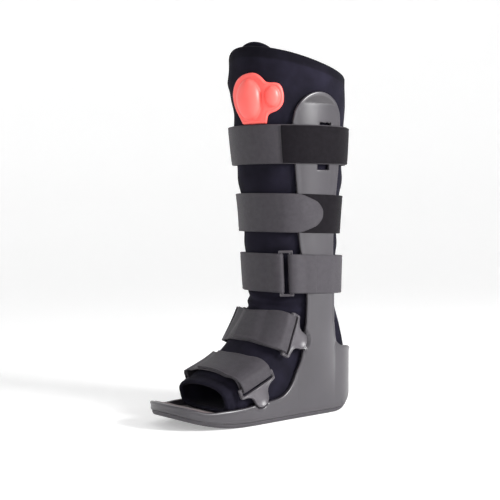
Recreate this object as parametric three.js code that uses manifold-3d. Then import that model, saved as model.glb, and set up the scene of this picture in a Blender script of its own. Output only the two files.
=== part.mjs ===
// Medical walking boot: a moulded shell with two uprights on a rocker sole, a padded liner open
// at the toe and the top, an air pump on the liner, and straps fastened through plastic loops.
// Millimetres. +Z is up, the toe points along -Y, and the visible loops are on the +X side.

import * as THREE from 'three';
import { mergeVertices } from 'three/addons/utils/BufferGeometryUtils.js';
import Module from 'manifold-3d';

const wasm = await Module();
wasm.setup();

// Overall sizes, with y measured from the leg's axis
const soleLength = 268;
const ballWidth = 104;
const heelReach = 88;
const linerHeight = 406;
const calfWidth = 120;
const calfDepth = 142;
const instepHeight = 120;

// Clearances
const gap = 0.3;
const uprightGap = 0.8;
const linerGap = 1;
const strapGap = 0.7;
const tongueGap = 0.8;
const barGap = 0.5;

// Sole, tray and uprights
const outsoleThick = 5;
const floorThick = 3;
const footbedThick = 5;
const shellWall = 4.2;
const toeSpring = 15;
const toeSpringLength = 80;
const heelRoll = 20;
const heelRollLength = 44;
const outsoleInset = 1.5;
const outsoleBevel = 3.5;
const ankleHeight = 110;
const uprightHeight = 375;
const windowReach = 28;

// Liner
const linerWall = 6;
const topSlope = 0.25;
const slopeStart = 345;
const legSquareness = 2.15;
const tongueRise = 9;
const tongueRound = 22;
const tongueThick = 4;
const tongueLow = 340;

// Straps and their hardware
const strapWidth = 44.5;
const strapThick = 2.2;
const pileThick = 1.6;
const footStrapWidth = 43.5;
const loopThick = 3.2;
const loopBar = 4;
const loopSlot = 5.4;
const loopLength = 52;
const loopTabRadius = 10;
const loopTabReach = 20;
const ringLength = 53;
const ringWidth = 16.4;
const ringBar = 3.2;
const pinRadius = 2.4;
const pinDepth = 2.4;
const pinCover = 0.8;
const tabGap = 0.9;
const cutReach = 9;

// Air pump
const pumpWidth = 81;
const pumpRise = 29;
const pumpAngle = 24.5;
const pumpFlange = 2.5;
const bulbRise = 12;
const releaseRise = 6.5;

const toeY = heelReach - soleLength;

// Sole in plan. Along is a share of soleLength from the toe, half a share of ballWidth.
const solePlan = [
  { along: 0.000, half: 0.000 },
  { along: 0.004, half: 0.130 },
  { along: 0.015, half: 0.240 },
  { along: 0.040, half: 0.345 },
  { along: 0.100, half: 0.430 },
  { along: 0.185, half: 0.485 },
  { along: 0.260, half: 0.500 },
  { along: 0.340, half: 0.495 },
  { along: 0.490, half: 0.455 },
  { along: 0.600, half: 0.425 },
  { along: 0.710, half: 0.400 },
  { along: 0.820, half: 0.370 },
  { along: 0.900, half: 0.325 },
  { along: 0.955, half: 0.240 },
  { along: 0.987, half: 0.140 },
  { along: 1.000, half: 0.000 },
];

// Rim of the tray in side view. Along is a share of soleLength from the toe, rise a share of
// ankleHeight above the tray's underside. Between the upright's edges the rim is its foot.
const rimRows = [
  { along: 0.000, rise: 0.080 },
  { along: 0.050, rise: 0.090 },
  { along: 0.110, rise: 0.090 },
  { along: 0.200, rise: 0.130 },
  { along: 0.330, rise: 0.165 },
  { along: 0.440, rise: 0.190 },
  { along: 0.500, rise: 0.220 },
  { along: 0.550, rise: 0.310 },
  { along: 0.590, rise: 0.470 },
  { along: 0.615, rise: 0.640 },
  { along: 0.629, rise: 0.955 },
  { along: 0.799, rise: 0.955 },
  { along: 0.820, rise: 0.800 },
  { along: 0.860, rise: 0.690 },
  { along: 0.930, rise: 0.600 },
  { along: 1.000, rise: 0.440 },
];

// Leg of the liner. Height is a share of linerHeight, width of calfWidth, depth and setBack of
// calfDepth.
const legRows = [
  { height: 0.250, width: 0.767, depth: 0.720, setBack: 0.046 },
  { height: 0.330, width: 0.767, depth: 0.727, setBack: 0.046 },
  { height: 0.420, width: 0.783, depth: 0.750, setBack: 0.039 },
  { height: 0.500, width: 0.800, depth: 0.780, setBack: 0.035 },
  { height: 0.590, width: 0.850, depth: 0.800, setBack: 0.035 },
  { height: 0.680, width: 0.883, depth: 0.870, setBack: 0.028 },
  { height: 0.775, width: 0.917, depth: 0.930, setBack: 0.018 },
  { height: 0.880, width: 0.950, depth: 0.975, setBack: 0.007 },
  { height: 1.000, width: 1.000, depth: 1.000, setBack: -0.007 },
];

// Foot of the liner, in sections from the toe opening up to the leg. Front and back are shares of
// the way from the toe to the leg's front and to its back. The front stands at a share of
// instepHeight, the back at a share of instepHeight above the footbed. Half is a share of
// ballWidth, and square says how boxed the section's back is.
const footRows = [
  { front: 0.401, top: 0.467, back: 0.264, lift: 0.000, half: 0.435, square: 4.0 },
  { front: 0.515, top: 0.508, back: 0.322, lift: 0.000, half: 0.440, square: 4.0 },
  { front: 0.664, top: 0.592, back: 0.431, lift: 0.000, half: 0.440, square: 4.0 },
  { front: 0.802, top: 0.733, back: 0.557, lift: 0.000, half: 0.430, square: 3.4 },
  { front: 0.891, top: 0.875, back: 0.733, lift: 0.000, half: 0.420, square: 2.8 },
  { front: 0.960, top: 1.000, back: 0.912, lift: 0.010, half: 0.410, square: 2.3 },
  { front: 1.005, top: 1.117, back: 1.072, lift: 0.130, half: 0.420, square: 2.2 },
  { front: 1.021, top: 1.225, back: 1.066, lift: 0.420, half: 0.430, square: 2.2 },
  { front: 1.019, top: 1.325, back: 0.993, lift: 0.950, half: 0.440, square: 2.2 },
];
const instepSquareness = 2.4;
const footTop = 0.42;

// Edges of an upright in side view, as shares of ankleHeight to uprightHeight for rise, and of
// calfDepth for its front and rear edge behind the leg's axis.
const uprightRows = [
  { rise: 0.00, front: -0.080, rear: 0.240 },
  { rise: 0.13, front: -0.080, rear: 0.225 },
  { rise: 0.36, front: -0.155, rear: 0.190 },
  { rise: 0.56, front: -0.190, rear: 0.195 },
  { rise: 0.68, front: -0.218, rear: 0.215 },
  { rise: 0.86, front: -0.253, rear: 0.219 },
  { rise: 0.94, front: -0.235, rear: 0.190 },
  { rise: 0.98, front: -0.170, rear: 0.120 },
  { rise: 1.00, front: -0.085, rear: 0.035 },
];
const uprightColumns = [0, 0.12, 0.28, 0.45, 0.72, 0.87, 1];
const windowColumn = 3;

// Straps round the leg. Height is a share of linerHeight, tilt lowers the strap towards the heel.
const legStraps = {
  top: { height: 0.775, tilt: 0.00 },
  middle: { height: 0.581, tilt: 0.03 },
  lower: { height: 0.410, tilt: 0.045 },
};

// Straps over the foot, as places on the liner's foot sections. The toe edge and the leg edge
// each have a section at the middle of the instep, one at the loops, and an angle at the loops.
// The tab is where the loop is pinned on the shell: a share of soleLength from the toe and its
// height as a share of instepHeight. standOff lifts the loop clear of the liner in millimetres,
// and freeEnd is where the folded-back end stops, as a share of the way to the near loop.
const footStraps = {
  upper: {
    toeEdge: { middle: 3.1, end: 3.75, angle: 76 },
    legEdge: { middle: 5.1, end: 6.4, angle: 57 },
    tab: { along: 0.612, height: 0.715 },
    standOff: 3,
    freeEnd: -0.12,
  },
  lower: {
    toeEdge: { middle: 0.6, end: 0.8, angle: 88 },
    legEdge: { middle: 2.2, end: 3.0, angle: 82 },
    tab: { along: 0.365, height: 0.18 },
    standOff: 1,
    freeEnd: -0.2,
  },
};

// Outline of the pump's flange round its middle: angle in degrees, reach a share of pumpWidth
const pumpOutline = [
  { angle: -150, reach: 0.473 },
  { angle: -122, reach: 0.510 },
  { angle: -73, reach: 0.406 },
  { angle: -63, reach: 0.286 },
  { angle: -45, reach: 0.279 },
  { angle: -29, reach: 0.352 },
  { angle: -10, reach: 0.420 },
  { angle: 14, reach: 0.428 },
  { angle: 30, reach: 0.420 },
  { angle: 45, reach: 0.300 },
  { angle: 60, reach: 0.262 },
  { angle: 78, reach: 0.302 },
  { angle: 96, reach: 0.356 },
  { angle: 118, reach: 0.405 },
  { angle: 145, reach: 0.500 },
  { angle: 172, reach: 0.580 },
  { angle: 210, reach: 0.473 },
];

// Domes of the pump, as shares of pumpWidth: centre across and up, half-sizes, and their rise
const pumpDomes = [
  { across: -0.160, up: -0.010, halfWide: 0.225, halfHigh: 0.290, rise: bulbRise },
  { across: 0.240, up: 0.025, halfWide: 0.125, halfHigh: 0.150, rise: releaseRise },
];

// Numbers of facets
const ringSides = 32;
const strapSteps = 44;

const radians = (degrees) => degrees * Math.PI / 180;
const mix = (a, b, t) => a + (b - a) * t;
const ease = (t) => {
  const s = Math.min(1, Math.max(0, t));
  return s * s * (3 - 2 * s);
};
const power = (value, exponent) => Math.sign(value) * Math.abs(value) ** exponent;

// Smooth value of one column of a table at a place along its key column
function lookup(rows, key, column, place) {
  const last = rows.length - 1;
  let i = 0;
  while (i < last - 1 && rows[i + 1][key] < place) i += 1;
  const slope = (k) => {
    const a = Math.max(0, k - 1);
    const b = Math.min(last, k + 1);
    return (rows[b][column] - rows[a][column]) / (rows[b][key] - rows[a][key]);
  };
  const width = rows[i + 1][key] - rows[i][key];
  const t = Math.min(1, Math.max(0, (place - rows[i][key]) / width));
  const t2 = t * t;
  const t3 = t2 * t;
  return rows[i][column] * (2 * t3 - 3 * t2 + 1) + rows[i + 1][column] * (3 * t2 - 2 * t3)
    + slope(i) * width * (t3 - 2 * t2 + t) + slope(i + 1) * width * (t3 - t2);
}

// Straight value of one column of a table at a place along its key column
function lookupStraight(rows, key, column, place) {
  let i = 0;
  while (i < rows.length - 2 && rows[i + 1][key] < place) i += 1;
  const t = (place - rows[i][key]) / (rows[i + 1][key] - rows[i][key]);
  return mix(rows[i][column], rows[i + 1][column], Math.min(1, Math.max(0, t)));
}

// Body from points and faces, turned inside out if its faces point in
function bodyFrom(points, faces) {
  let volume = 0;
  for (const [a, b, c] of faces) {
    volume += points[a].dot(new THREE.Vector3().crossVectors(points[b], points[c]));
  }
  const index = faces.filter(([a, b, c]) => a !== b && b !== c && c !== a)
    .flatMap(([a, b, c]) => (volume > 0 ? [a, b, c] : [a, c, b]));
  const geometry = new THREE.BufferGeometry();
  geometry.setAttribute('position', new THREE.Float32BufferAttribute(
    points.flatMap((p) => [p.x, p.y, p.z]), 3));
  geometry.setIndex(index);
  return geometry;
}

// Closed body between an outer and an inner grid of points. Each row runs round the body, and
// closed says whether its last point joins its first.
function wallBody(outer, inner, closed) {
  const columns = outer[0].length;
  const points = [...outer.flat(), ...inner.flat()];
  const half = points.length / 2;
  const faces = [];
  const quad = (a, b, c, d) => faces.push([a, b, c], [a, c, d]);
  const at = (i, j) => i * columns + (j % columns);
  const spans = closed ? columns : columns - 1;
  for (let i = 0; i + 1 < outer.length; i += 1) {
    for (let j = 0; j < spans; j += 1) {
      quad(at(i, j), at(i, j + 1), at(i + 1, j + 1), at(i + 1, j));
      quad(half + at(i, j), half + at(i + 1, j), half + at(i + 1, j + 1), half + at(i, j + 1));
    }
    if (!closed) {
      quad(at(i, 0), at(i + 1, 0), half + at(i + 1, 0), half + at(i, 0));
      const j = columns - 1;
      quad(at(i, j), half + at(i, j), half + at(i + 1, j), at(i + 1, j));
    }
  }
  const last = outer.length - 1;
  for (let j = 0; j < spans; j += 1) {
    quad(at(0, j), half + at(0, j), half + at(0, j + 1), at(0, j + 1));
    quad(at(last, j), at(last, j + 1), half + at(last, j + 1), half + at(last, j));
  }
  return bodyFrom(points, faces);
}

// A geometry as a solid for cutting, and back
function toSolid(geometry) {
  const plain = geometry.clone();
  plain.deleteAttribute('normal');
  plain.deleteAttribute('uv');
  const merged = mergeVertices(plain, 1e-4);
  return new wasm.Manifold(new wasm.Mesh({
    numProp: 3,
    vertProperties: new Float32Array(merged.attributes.position.array),
    triVerts: new Uint32Array(merged.index.array),
  }));
}

function toGeometry(solid) {
  const mesh = solid.getMesh();
  const geometry = new THREE.BufferGeometry();
  geometry.setAttribute('position', new THREE.Float32BufferAttribute(mesh.vertProperties, 3));
  geometry.setIndex(Array.from(mesh.triVerts));
  return geometry;
}

function cut(geometry, tools) {
  let solid = toSolid(geometry);
  for (const tool of tools) solid = solid.subtract(toSolid(tool));
  return toGeometry(solid);
}

// Leg surface: a squared ellipse at height z, grown by sideOut in x and out in y. Angle 0 is the
// front and 90 degrees the +X side.
function legHalves(z) {
  const share = z / linerHeight;
  return {
    wide: lookup(legRows, 'height', 'width', share) * calfWidth / 2,
    deep: lookup(legRows, 'height', 'depth', share) * calfDepth / 2,
    back: lookup(legRows, 'height', 'setBack', share) * calfDepth,
  };
}

function legPoint(angle, z, out, sideOut = out) {
  const leg = legHalves(z);
  const x = (leg.wide + sideOut) * power(Math.sin(radians(angle)), 2 / legSquareness);
  const y = leg.back - (leg.deep + out) * power(Math.cos(radians(angle)), 2 / legSquareness);
  return new THREE.Vector3(x, y, z);
}

// Half-width of the leg surface at a given y and height
function legSide(y, z, out, sideOut) {
  const leg = legHalves(z);
  const share = Math.min(1, Math.abs(y - leg.back) / (leg.deep + out));
  return (leg.wide + sideOut) * (1 - share ** legSquareness) ** (1 / legSquareness);
}

// Underside of the boot: flat, springing up at the toe and rolling up at the heel
function rocker(y) {
  const toe = Math.max(0, (toeY + toeSpringLength - y) / toeSpringLength);
  const heel = Math.max(0, (y - heelReach + heelRollLength) / heelRollLength);
  return toeSpring * toe ** 2 + heelRoll * heel ** 2;
}

const trayUnder = (y) => rocker(y) + outsoleThick;
const trayFloor = (y) => trayUnder(y) + floorThick;
const footbedTop = (y) => trayFloor(y) + gap + footbedThick;

// Columns of the shell down one half of the sole's outline, from toe to heel. The upright stands
// on the columns between its edges at the ankle.
const uprightOut = shellWall + uprightGap;
const uprightFoot = {
  front: uprightRows[0].front * calfDepth,
  rear: uprightRows[0].rear * calfDepth,
};
const halfPlan = solePlan.map((row) => new THREE.Vector3(
  row.half * ballWidth, toeY + row.along * soleLength, 0));
const planCurve = new THREE.CatmullRomCurve3(
  [...halfPlan, ...halfPlan.slice(1, -1).reverse().map((p) => new THREE.Vector3(-p.x, p.y, 0))],
  true, 'centripetal');

function planPlaceAt(y) {
  let low = 0;
  let high = 0.5;
  for (let i = 0; i < 40; i += 1) {
    const middle = (low + high) / 2;
    if (planCurve.getPointAt(middle).y < y) low = middle;
    else high = middle;
  }
  return low;
}

const toeColumns = 15;
const heelColumns = 9;
const places = [];
const frontPlace = planPlaceAt(uprightFoot.front);
const rearPlace = planPlaceAt(uprightFoot.rear);
for (let i = 0; i < toeColumns; i += 1) places.push(frontPlace * i / toeColumns);
const uprightFirst = places.length;
for (const share of uprightColumns) {
  places.push(planPlaceAt(mix(uprightFoot.front, uprightFoot.rear, share)));
}
const uprightLast = places.length - 1;
for (let i = 1; i <= heelColumns; i += 1) places.push(mix(rearPlace, 0.5, i / heelColumns));

const halfOutline = places.map((place) => {
  const point = planCurve.getPointAt(place);
  const along = planCurve.getTangentAt(place);
  return { x: Math.max(0, point.x), y: point.y, nx: along.y, ny: -along.x };
});
halfOutline[0] = { x: 0, y: toeY, nx: 0, ny: -1 };
halfOutline[halfOutline.length - 1] = { x: 0, y: heelReach, nx: 0, ny: 1 };

// The whole outline: down the +X side and back up the -X side
const outline = [
  ...halfOutline,
  ...halfOutline.slice(1, -1).reverse().map((c) => ({ x: -c.x, y: c.y, nx: -c.nx, ny: c.ny })),
];

// The wall leans out from the sole's outline to the leg's width beside the ankle
const leanFrom = toeY + 0.42 * soleLength;
const leanFull = uprightFoot.front;
const leanUntil = heelReach - 0.04 * soleLength;
function wallPoint(column, z, inward) {
  const lean = ease((column.y - leanFrom) / (leanFull - leanFrom))
    * ease((leanUntil - column.y) / (leanUntil - uprightFoot.rear));
  const rise = ease((z - outsoleThick) / (ankleHeight - outsoleThick));
  const side = Math.abs(column.x);
  const target = legSide(column.y, ankleHeight, 0, uprightOut);
  const x = Math.sign(column.x) * mix(side, Math.max(side, target), lean * rise);
  return new THREE.Vector3(x - column.nx * inward, column.y - column.ny * inward, z);
}

// Inside of the tray's wall on the +X side at a given y and height
function trayInside(y, z) {
  const row = halfOutline.map((column) => wallPoint(column, z, shellWall));
  let i = 0;
  while (i < row.length - 2 && row[i + 1].y < y) i += 1;
  const t = Math.min(1, Math.max(0, (y - row[i].y) / (row[i + 1].y - row[i].y)));
  return mix(row[i].x, row[i + 1].x, t);
}

const rimHeight = (y) => trayUnder(y)
  + lookupStraight(rimRows, 'along', 'rise', (y - toeY) / soleLength) * ankleHeight;

// Outer and inner point of an upright at a share of its width and a height
function uprightPoint(side, share, z, inside) {
  const rise = (z - ankleHeight) / (uprightHeight - ankleHeight);
  const front = lookupStraight(uprightRows, 'rise', 'front', rise) * calfDepth;
  const rear = lookupStraight(uprightRows, 'rise', 'rear', rise) * calfDepth;
  const y = mix(front, rear, share);
  const x = inside ? legSide(y, z, 0, uprightGap) : legSide(y, z, 0, uprightOut);
  return new THREE.Vector3(side * x, y, z);
}

// Shell: tray walls and floor, rim, heel cup and the two uprights with their strap windows
function shellBody() {
  const points = [];
  const faces = [];
  const add = (point) => points.push(point) - 1;
  const quad = (a, b, c, d) => faces.push([a, b, c], [a, c, d]);
  const wallRows = 4;
  const count = outline.length;
  const onUpright = (k) => {
    const half = k < halfOutline.length ? k : count - k;
    return half >= uprightFirst && half <= uprightLast;
  };
  const outer = [];
  const inner = [];
  outline.forEach((column, k) => {
    const rim = onUpright(k) ? ankleHeight : rimHeight(column.y);
    const rows = [...Array(wallRows + 1).keys()].map((r) => r / wallRows);
    const floor = trayFloor(column.y - column.ny * shellWall);
    outer.push(rows.map((v) => add(wallPoint(column, mix(trayUnder(column.y), rim, v), 0))));
    inner.push(rows.map((v) => add(wallPoint(column, mix(floor, rim, v), shellWall))));
  });
  for (let k = 0; k < count; k += 1) {
    const next = (k + 1) % count;
    for (let r = 0; r < wallRows; r += 1) {
      quad(outer[k][r], outer[next][r], outer[next][r + 1], outer[k][r + 1]);
      quad(inner[k][r], inner[k][r + 1], inner[next][r + 1], inner[next][r]);
    }
    if (!(onUpright(k) && onUpright(next))) {
      quad(outer[k][wallRows], outer[next][wallRows], inner[next][wallRows], inner[k][wallRows]);
    }
  }
  for (let k = 0; k < halfOutline.length - 1; k += 1) {
    const near = (i, grid) => grid[i][0];
    const far = (i, grid) => grid[(count - i) % count][0];
    quad(near(k, outer), far(k, outer), far(k + 1, outer), near(k + 1, outer));
    quad(near(k, inner), near(k + 1, inner), far(k + 1, inner), far(k, inner));
  }
  const windowMiddle = legStraps.top.height * linerHeight;
  const windowLow = windowMiddle - windowReach;
  const windowHigh = windowMiddle + windowReach;
  const heights = [
    ...[0.1, 0.2, 0.37, 0.54, 0.71, 0.86].map((share) => mix(ankleHeight, windowLow, share)),
    ...[0, 0.34, 0.68].map((share) => mix(windowLow, windowHigh, share)),
    ...[0, 0.28, 0.53, 0.75, 0.9, 1].map((share) => mix(windowHigh, uprightHeight, share)),
  ];
  for (const side of [1, -1]) {
    const column = (c) => (side > 0 ? uprightFirst + c : count - uprightFirst - c);
    const skins = [outer, inner].map((tray, inside) => [
      uprightColumns.map((share, c) => tray[column(c)][wallRows]),
      ...heights.map((z) => uprightColumns.map((share) => add(
        uprightPoint(side, share, z, inside === 1)))),
    ]);
    const flat = (a, b, c, d) => (side > 0 ? quad(a, b, c, d) : quad(a, d, c, b));
    const [out, into] = skins;
    const rowCount = heights.length;
    const lastColumn = uprightColumns.length - 1;
    const lowRow = heights.indexOf(windowLow) + 1;
    const highRow = heights.indexOf(windowHigh) + 1;
    const open = (r, c) => c === windowColumn && r >= lowRow && r < highRow;
    for (let r = 0; r < rowCount; r += 1) {
      for (let c = 0; c < lastColumn; c += 1) {
        if (open(r, c)) {
          flat(out[r][c], into[r][c], into[r + 1][c], out[r + 1][c]);
          flat(out[r][c + 1], out[r + 1][c + 1], into[r + 1][c + 1], into[r][c + 1]);
        } else {
          flat(out[r][c], out[r][c + 1], out[r + 1][c + 1], out[r + 1][c]);
          flat(into[r][c], into[r + 1][c], into[r + 1][c + 1], into[r][c + 1]);
        }
      }
      flat(out[r][0], out[r + 1][0], into[r + 1][0], into[r][0]);
      flat(out[r][lastColumn], into[r][lastColumn], into[r + 1][lastColumn], out[r + 1][lastColumn]);
    }
    const w = windowColumn;
    flat(out[lowRow][w], out[lowRow][w + 1], into[lowRow][w + 1], into[lowRow][w]);
    flat(out[highRow][w + 1], out[highRow][w], into[highRow][w], into[highRow][w + 1]);
    for (let c = 0; c < lastColumn; c += 1) {
      flat(out[rowCount][c], out[rowCount][c + 1], into[rowCount][c + 1], into[rowCount][c]);
    }
  }
  return bodyFrom(points, faces);
}

// Slab that follows the sole: levels from the underside up, each with an inset and a height
function soleSlab(levels) {
  const points = [];
  const faces = [];
  const count = outline.length;
  const rings = levels.map((level) => outline.map((column) => {
    const x = column.x - column.nx * level.inset;
    const y = column.y - column.ny * level.inset;
    return points.push(new THREE.Vector3(x, y, level.height(y))) - 1;
  }));
  for (let i = 0; i + 1 < rings.length; i += 1) {
    for (let k = 0; k < count; k += 1) {
      const next = (k + 1) % count;
      faces.push([rings[i][k], rings[i][next], rings[i + 1][next]]);
      faces.push([rings[i][k], rings[i + 1][next], rings[i + 1][k]]);
    }
  }
  const low = rings[0];
  const high = rings[rings.length - 1];
  for (let k = 0; k < halfOutline.length - 1; k += 1) {
    const mirror = (i) => (count - i) % count;
    for (const [ring, turned] of [[low, false], [high, true]]) {
      const [a, b, c, d] = [ring[k], ring[mirror(k)], ring[mirror(k + 1)], ring[k + 1]];
      faces.push(turned ? [a, c, b] : [a, b, c], turned ? [a, d, c] : [a, c, d]);
    }
  }
  return bodyFrom(points, faces);
}

// Foot of the liner: a section at a place along footRows, with angle 0 at the instep, grown by
// out, and held inside the tray's wall below the ankle
function footPoint(place, angle, out) {
  const i = Math.min(footRows.length - 2, Math.floor(Math.max(0, place)));
  const rows = footRows.map((row, key) => ({ ...row, key }));
  const value = (column) => (place < i + 1 || i === footRows.length - 2
    ? lookup(rows, 'key', column, place) : footRows[i + 1][column]);
  const leg = legHalves(footTop * linerHeight);
  const frontY = mix(toeY, leg.back - leg.deep, value('front'));
  const backY = mix(toeY, leg.back + leg.deep, value('back'));
  const frontZ = value('top') * instepHeight;
  const backZ = footbedTop(backY) + gap + value('lift') * instepHeight;
  const front = new THREE.Vector3(0, frontY, frontZ);
  const back = new THREE.Vector3(0, backY, backZ);
  const axis = front.clone().sub(back);
  const reach = axis.length() / 2;
  axis.normalize();
  const c = Math.cos(radians(angle));
  const s = Math.sin(radians(angle));
  const squareness = c > 0 ? instepSquareness : value('square');
  const half = value('half') * ballWidth + out;
  const point = front.clone().add(back).multiplyScalar(0.5);
  point.addScaledVector(axis, (reach + out) * power(c, 2 / squareness));
  point.x = half * power(s, 2 / squareness);
  return point;
}

// Keep a liner point clear of the tray's wall, or of an upright's inside, that it has beside it
function heldInTray(point, inward) {
  let limit = trayInside(point.y, Math.min(point.z, ankleHeight)) - linerGap - inward;
  if (point.z > ankleHeight) {
    const beside = point.y > uprightFoot.front + 2 * gap - shellWall;
    limit = beside ? legSide(point.y, point.z, -inward, -inward) : Infinity;
  }
  point.x = Math.min(Math.max(point.x, -limit), limit);
  return point;
}

// Slope of the liner's top edge, from level at slopeStart to its full fall at the edge
function sloped(point) {
  point.z -= topSlope * ease((point.z - slopeStart) / (linerHeight - slopeStart)) * point.y;
  return point;
}

// Rings of the liner from the toe opening to the top edge, moved inward by inward
function linerRings(inward) {
  const rings = [];
  const angles = [...Array(ringSides).keys()].map((i) => i * 360 / ringSides);
  for (let place = 0; place <= footRows.length - 1; place += 0.5) {
    rings.push(angles.map((angle) => heldInTray(footPoint(place, angle, -inward), inward)));
  }
  const legHeights = [footTop, 0.47, 0.54, 0.61, 0.68, 0.75, 0.82, 0.88, 0.94, 1];
  for (const share of legHeights) {
    rings.push(angles.map((angle) => sloped(legPoint(angle, share * linerHeight, -inward))));
  }
  return rings;
}

// Tongue: a flap with a round head, lying inside the front of the liner
const tongueAngle = 16;
const tongueSpread = 26;
function tongueBody() {
  const columns = [-1, -0.94, -0.8, -0.55, -0.2, 0.2, 0.55, 0.8, 0.94, 1];
  const rows = [0, 0.35, 0.7, 1];
  const skin = (inward) => rows.map((v) => columns.map((q) => {
    const top = linerHeight + tongueRise - tongueRound * (1 - Math.sqrt(1 - q * q * 0.98));
    return sloped(legPoint(tongueAngle + q * tongueSpread, mix(tongueLow, top, v), -inward));
  }));
  const outside = linerWall + tongueGap;
  return wallBody(skin(outside), skin(outside + tongueThick), false);
}

// Middle height of a leg strap at a depth y
function strapMiddle(strap, y) {
  return strap.height * linerHeight - strap.tilt * y;
}

// Place on a leg strap: angle round the leg, share across the width, and distance from the hull
// of the liner and the uprights
function legStrapPoint(strap, angle, across, out, width) {
  const z = strapMiddle(strap, legPoint(angle, strap.height * linerHeight, 0).y)
    + (across - 0.5) * width;
  return legPoint(angle, z, out, uprightOut + out);
}

// Millimetres on a strap for one step of its place along the path
function unitAt(place, at) {
  const step = 0.01;
  return place(at - step, 0.5, barMiddle).distanceTo(place(at + step, 0.5, barMiddle)) / step / 2;
}

// Ribbon along a path of {at, out, width} steps. The place function turns a step along the path,
// a share across, a distance out and a share of the width into a point.
function ribbonBody(path, thick, acrossCount, place) {
  const normals = path.map((step, i) => {
    const a = path[Math.max(0, i - 1)];
    const b = path[Math.min(path.length - 1, i + 1)];
    const unit = unitAt(place, step.at);
    const along = (b.at - a.at) * unit;
    const outward = b.out - a.out;
    const length = Math.hypot(along, outward);
    return { at: -outward / length / unit, out: along / length };
  });
  const skin = (offset) => path.map((step, i) => {
    const row = [];
    for (let j = 0; j <= acrossCount; j += 1) {
      row.push(place(step.at + normals[i].at * offset, j / acrossCount,
        step.out + normals[i].out * offset, step.width ?? 1));
    }
    return row;
  });
  return wallBody(skin(thick / 2), skin(-thick / 2), false);
}

// Steps from one place to another, easing from one distance out to another
function run(from, to, outFrom, outTo, steps) {
  return [...Array(steps + 1).keys()].map((i) => ({
    at: mix(from, to, i / steps),
    out: mix(outFrom, outTo, ease(i / steps)),
  }));
}

// Fold of a strap round the edge of a bar at place at, from the under to the over layer
function fold(at, dir, unit) {
  const radius = (overLayer - underLayer) / 2;
  return [-60, -30, 0, 30, 60].map((turn) => ({
    at: at + dir * (radius * Math.cos(radians(turn)) - foldBack) / unit,
    out: barMiddle + radius * Math.sin(radians(turn)),
  }));
}

const underLayer = strapGap + strapThick / 2;
const barMiddle = strapGap + strapThick + barGap + loopThick / 2;
const overLayer = 2 * barMiddle - underLayer;
const laidLayer = strapGap + strapThick + gap + strapThick / 2;
const foldBack = 0.4;

const onLeg = (strap, share = 1) => (angle, across, out, width = 1) => legStrapPoint(
  strap, angle, across, out, strapWidth * share * width);

function legStrapBody(strap, path, thick, share) {
  return ribbonBody(path, thick, 2, onLeg(strap, share));
}

// Top strap all the way round, with a pile patch over its near side
const topSeam = -100;
const seamGap = 0.6;
const pileOut = strapGap + strapThick + gap + pileThick / 2;
function topStrapBody() {
  const end = topSeam + 360 - seamGap;
  return legStrapBody(legStraps.top, run(topSeam, end, underLayer, underLayer, strapSteps), strapThick);
}
function topPileBody() {
  return legStrapBody(legStraps.top, run(46, 170, pileOut, pileOut, 16), pileThick, 0.95);
}

// Middle strap: a pile strap round the back, and a grey strap with a rounded tip laid over it
const tipAngle = 89;
const tipStart = 62;
function middleStrapBody() {
  const onLiner = strapGap + strapThick / 2;
  const onPile = strapGap + pileThick + gap + strapThick / 2;
  const body = run(-178, 28, onLiner, onLiner, 26);
  const rise = run(28, 48, onLiner, onPile, 3).slice(1);
  const straight = run(48, tipStart, onPile, onPile, 2).slice(1);
  const tip = [0.25, 0.5, 0.7, 0.85, 0.95, 1].map((share) => ({
    at: mix(tipStart, tipAngle, share),
    out: onPile,
    width: mix(1, 0.55, share) * Math.sqrt(1 - (0.97 * share ** 3) ** 2),
  }));
  return legStrapBody(legStraps.middle, [...body, ...rise, ...straight, ...tip], strapThick);
}
function middlePileBody() {
  const out = strapGap + pileThick / 2;
  return legStrapBody(legStraps.middle, run(51, 181, out, out, 16), pileThick);
}

// Lower strap: two halves folded round the two long bars of a flat ring
const ringAngle = 45.5;
const ringUnit = unitAt(onLeg(legStraps.lower), ringAngle);
const barOffset = (ringWidth - ringBar) / 2 / ringUnit;
const barEdge = barOffset - ringBar / 2 / ringUnit;
function lowerFrontBody() {
  const edge = ringAngle - barEdge;
  const bar = ringAngle - barOffset;
  const path = [
    ...run(-178, bar, underLayer, underLayer, 26),
    ...fold(edge, 1, ringUnit),
    ...run(bar, bar - 2, overLayer, overLayer, 1),
    ...run(bar - 2, bar - 18, overLayer, laidLayer, 3).slice(1),
    ...run(bar - 18, -24, laidLayer, laidLayer, 5).slice(1),
  ];
  return legStrapBody(legStraps.lower, path, strapThick);
}
function lowerSideBody() {
  const edge = ringAngle + barEdge;
  const bar = ringAngle + barOffset;
  const standOff = 3.5;
  const path = [
    ...run(bar + 30, bar + 18, laidLayer, laidLayer, 2),
    ...run(bar + 18, bar + 2, laidLayer, overLayer, 3).slice(1),
    ...run(bar + 2, bar, overLayer, overLayer, 1).slice(1),
    ...fold(edge, -1, ringUnit).reverse(),
    ...run(bar, 112, underLayer, underLayer, 8),
    ...run(112, 140, underLayer, underLayer + standOff, 4).slice(1),
    ...run(140, 181, underLayer + standOff, underLayer, 5).slice(1),
  ];
  return legStrapBody(legStraps.lower, path, strapThick);
}

// Flat plate shape with its slot, drawn with the slot along x and the tab towards +y
function loopShape(grow) {
  const half = loopLength / 2 + grow;
  const tab = loopTabRadius + grow;
  const shoulder = loopSlot + ringBar + grow;
  const shape = new THREE.Shape();
  shape.moveTo(-half, -loopBar - grow);
  shape.lineTo(half, -loopBar - grow);
  shape.lineTo(half, shoulder - 1);
  shape.quadraticCurveTo(tab + 1, shoulder + 1, tab, loopTabReach);
  shape.absarc(0, loopTabReach, tab, 0, Math.PI, false);
  shape.quadraticCurveTo(-tab - 1, shoulder + 1, -half, shoulder - 1);
  shape.closePath();
  return shape;
}

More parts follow.
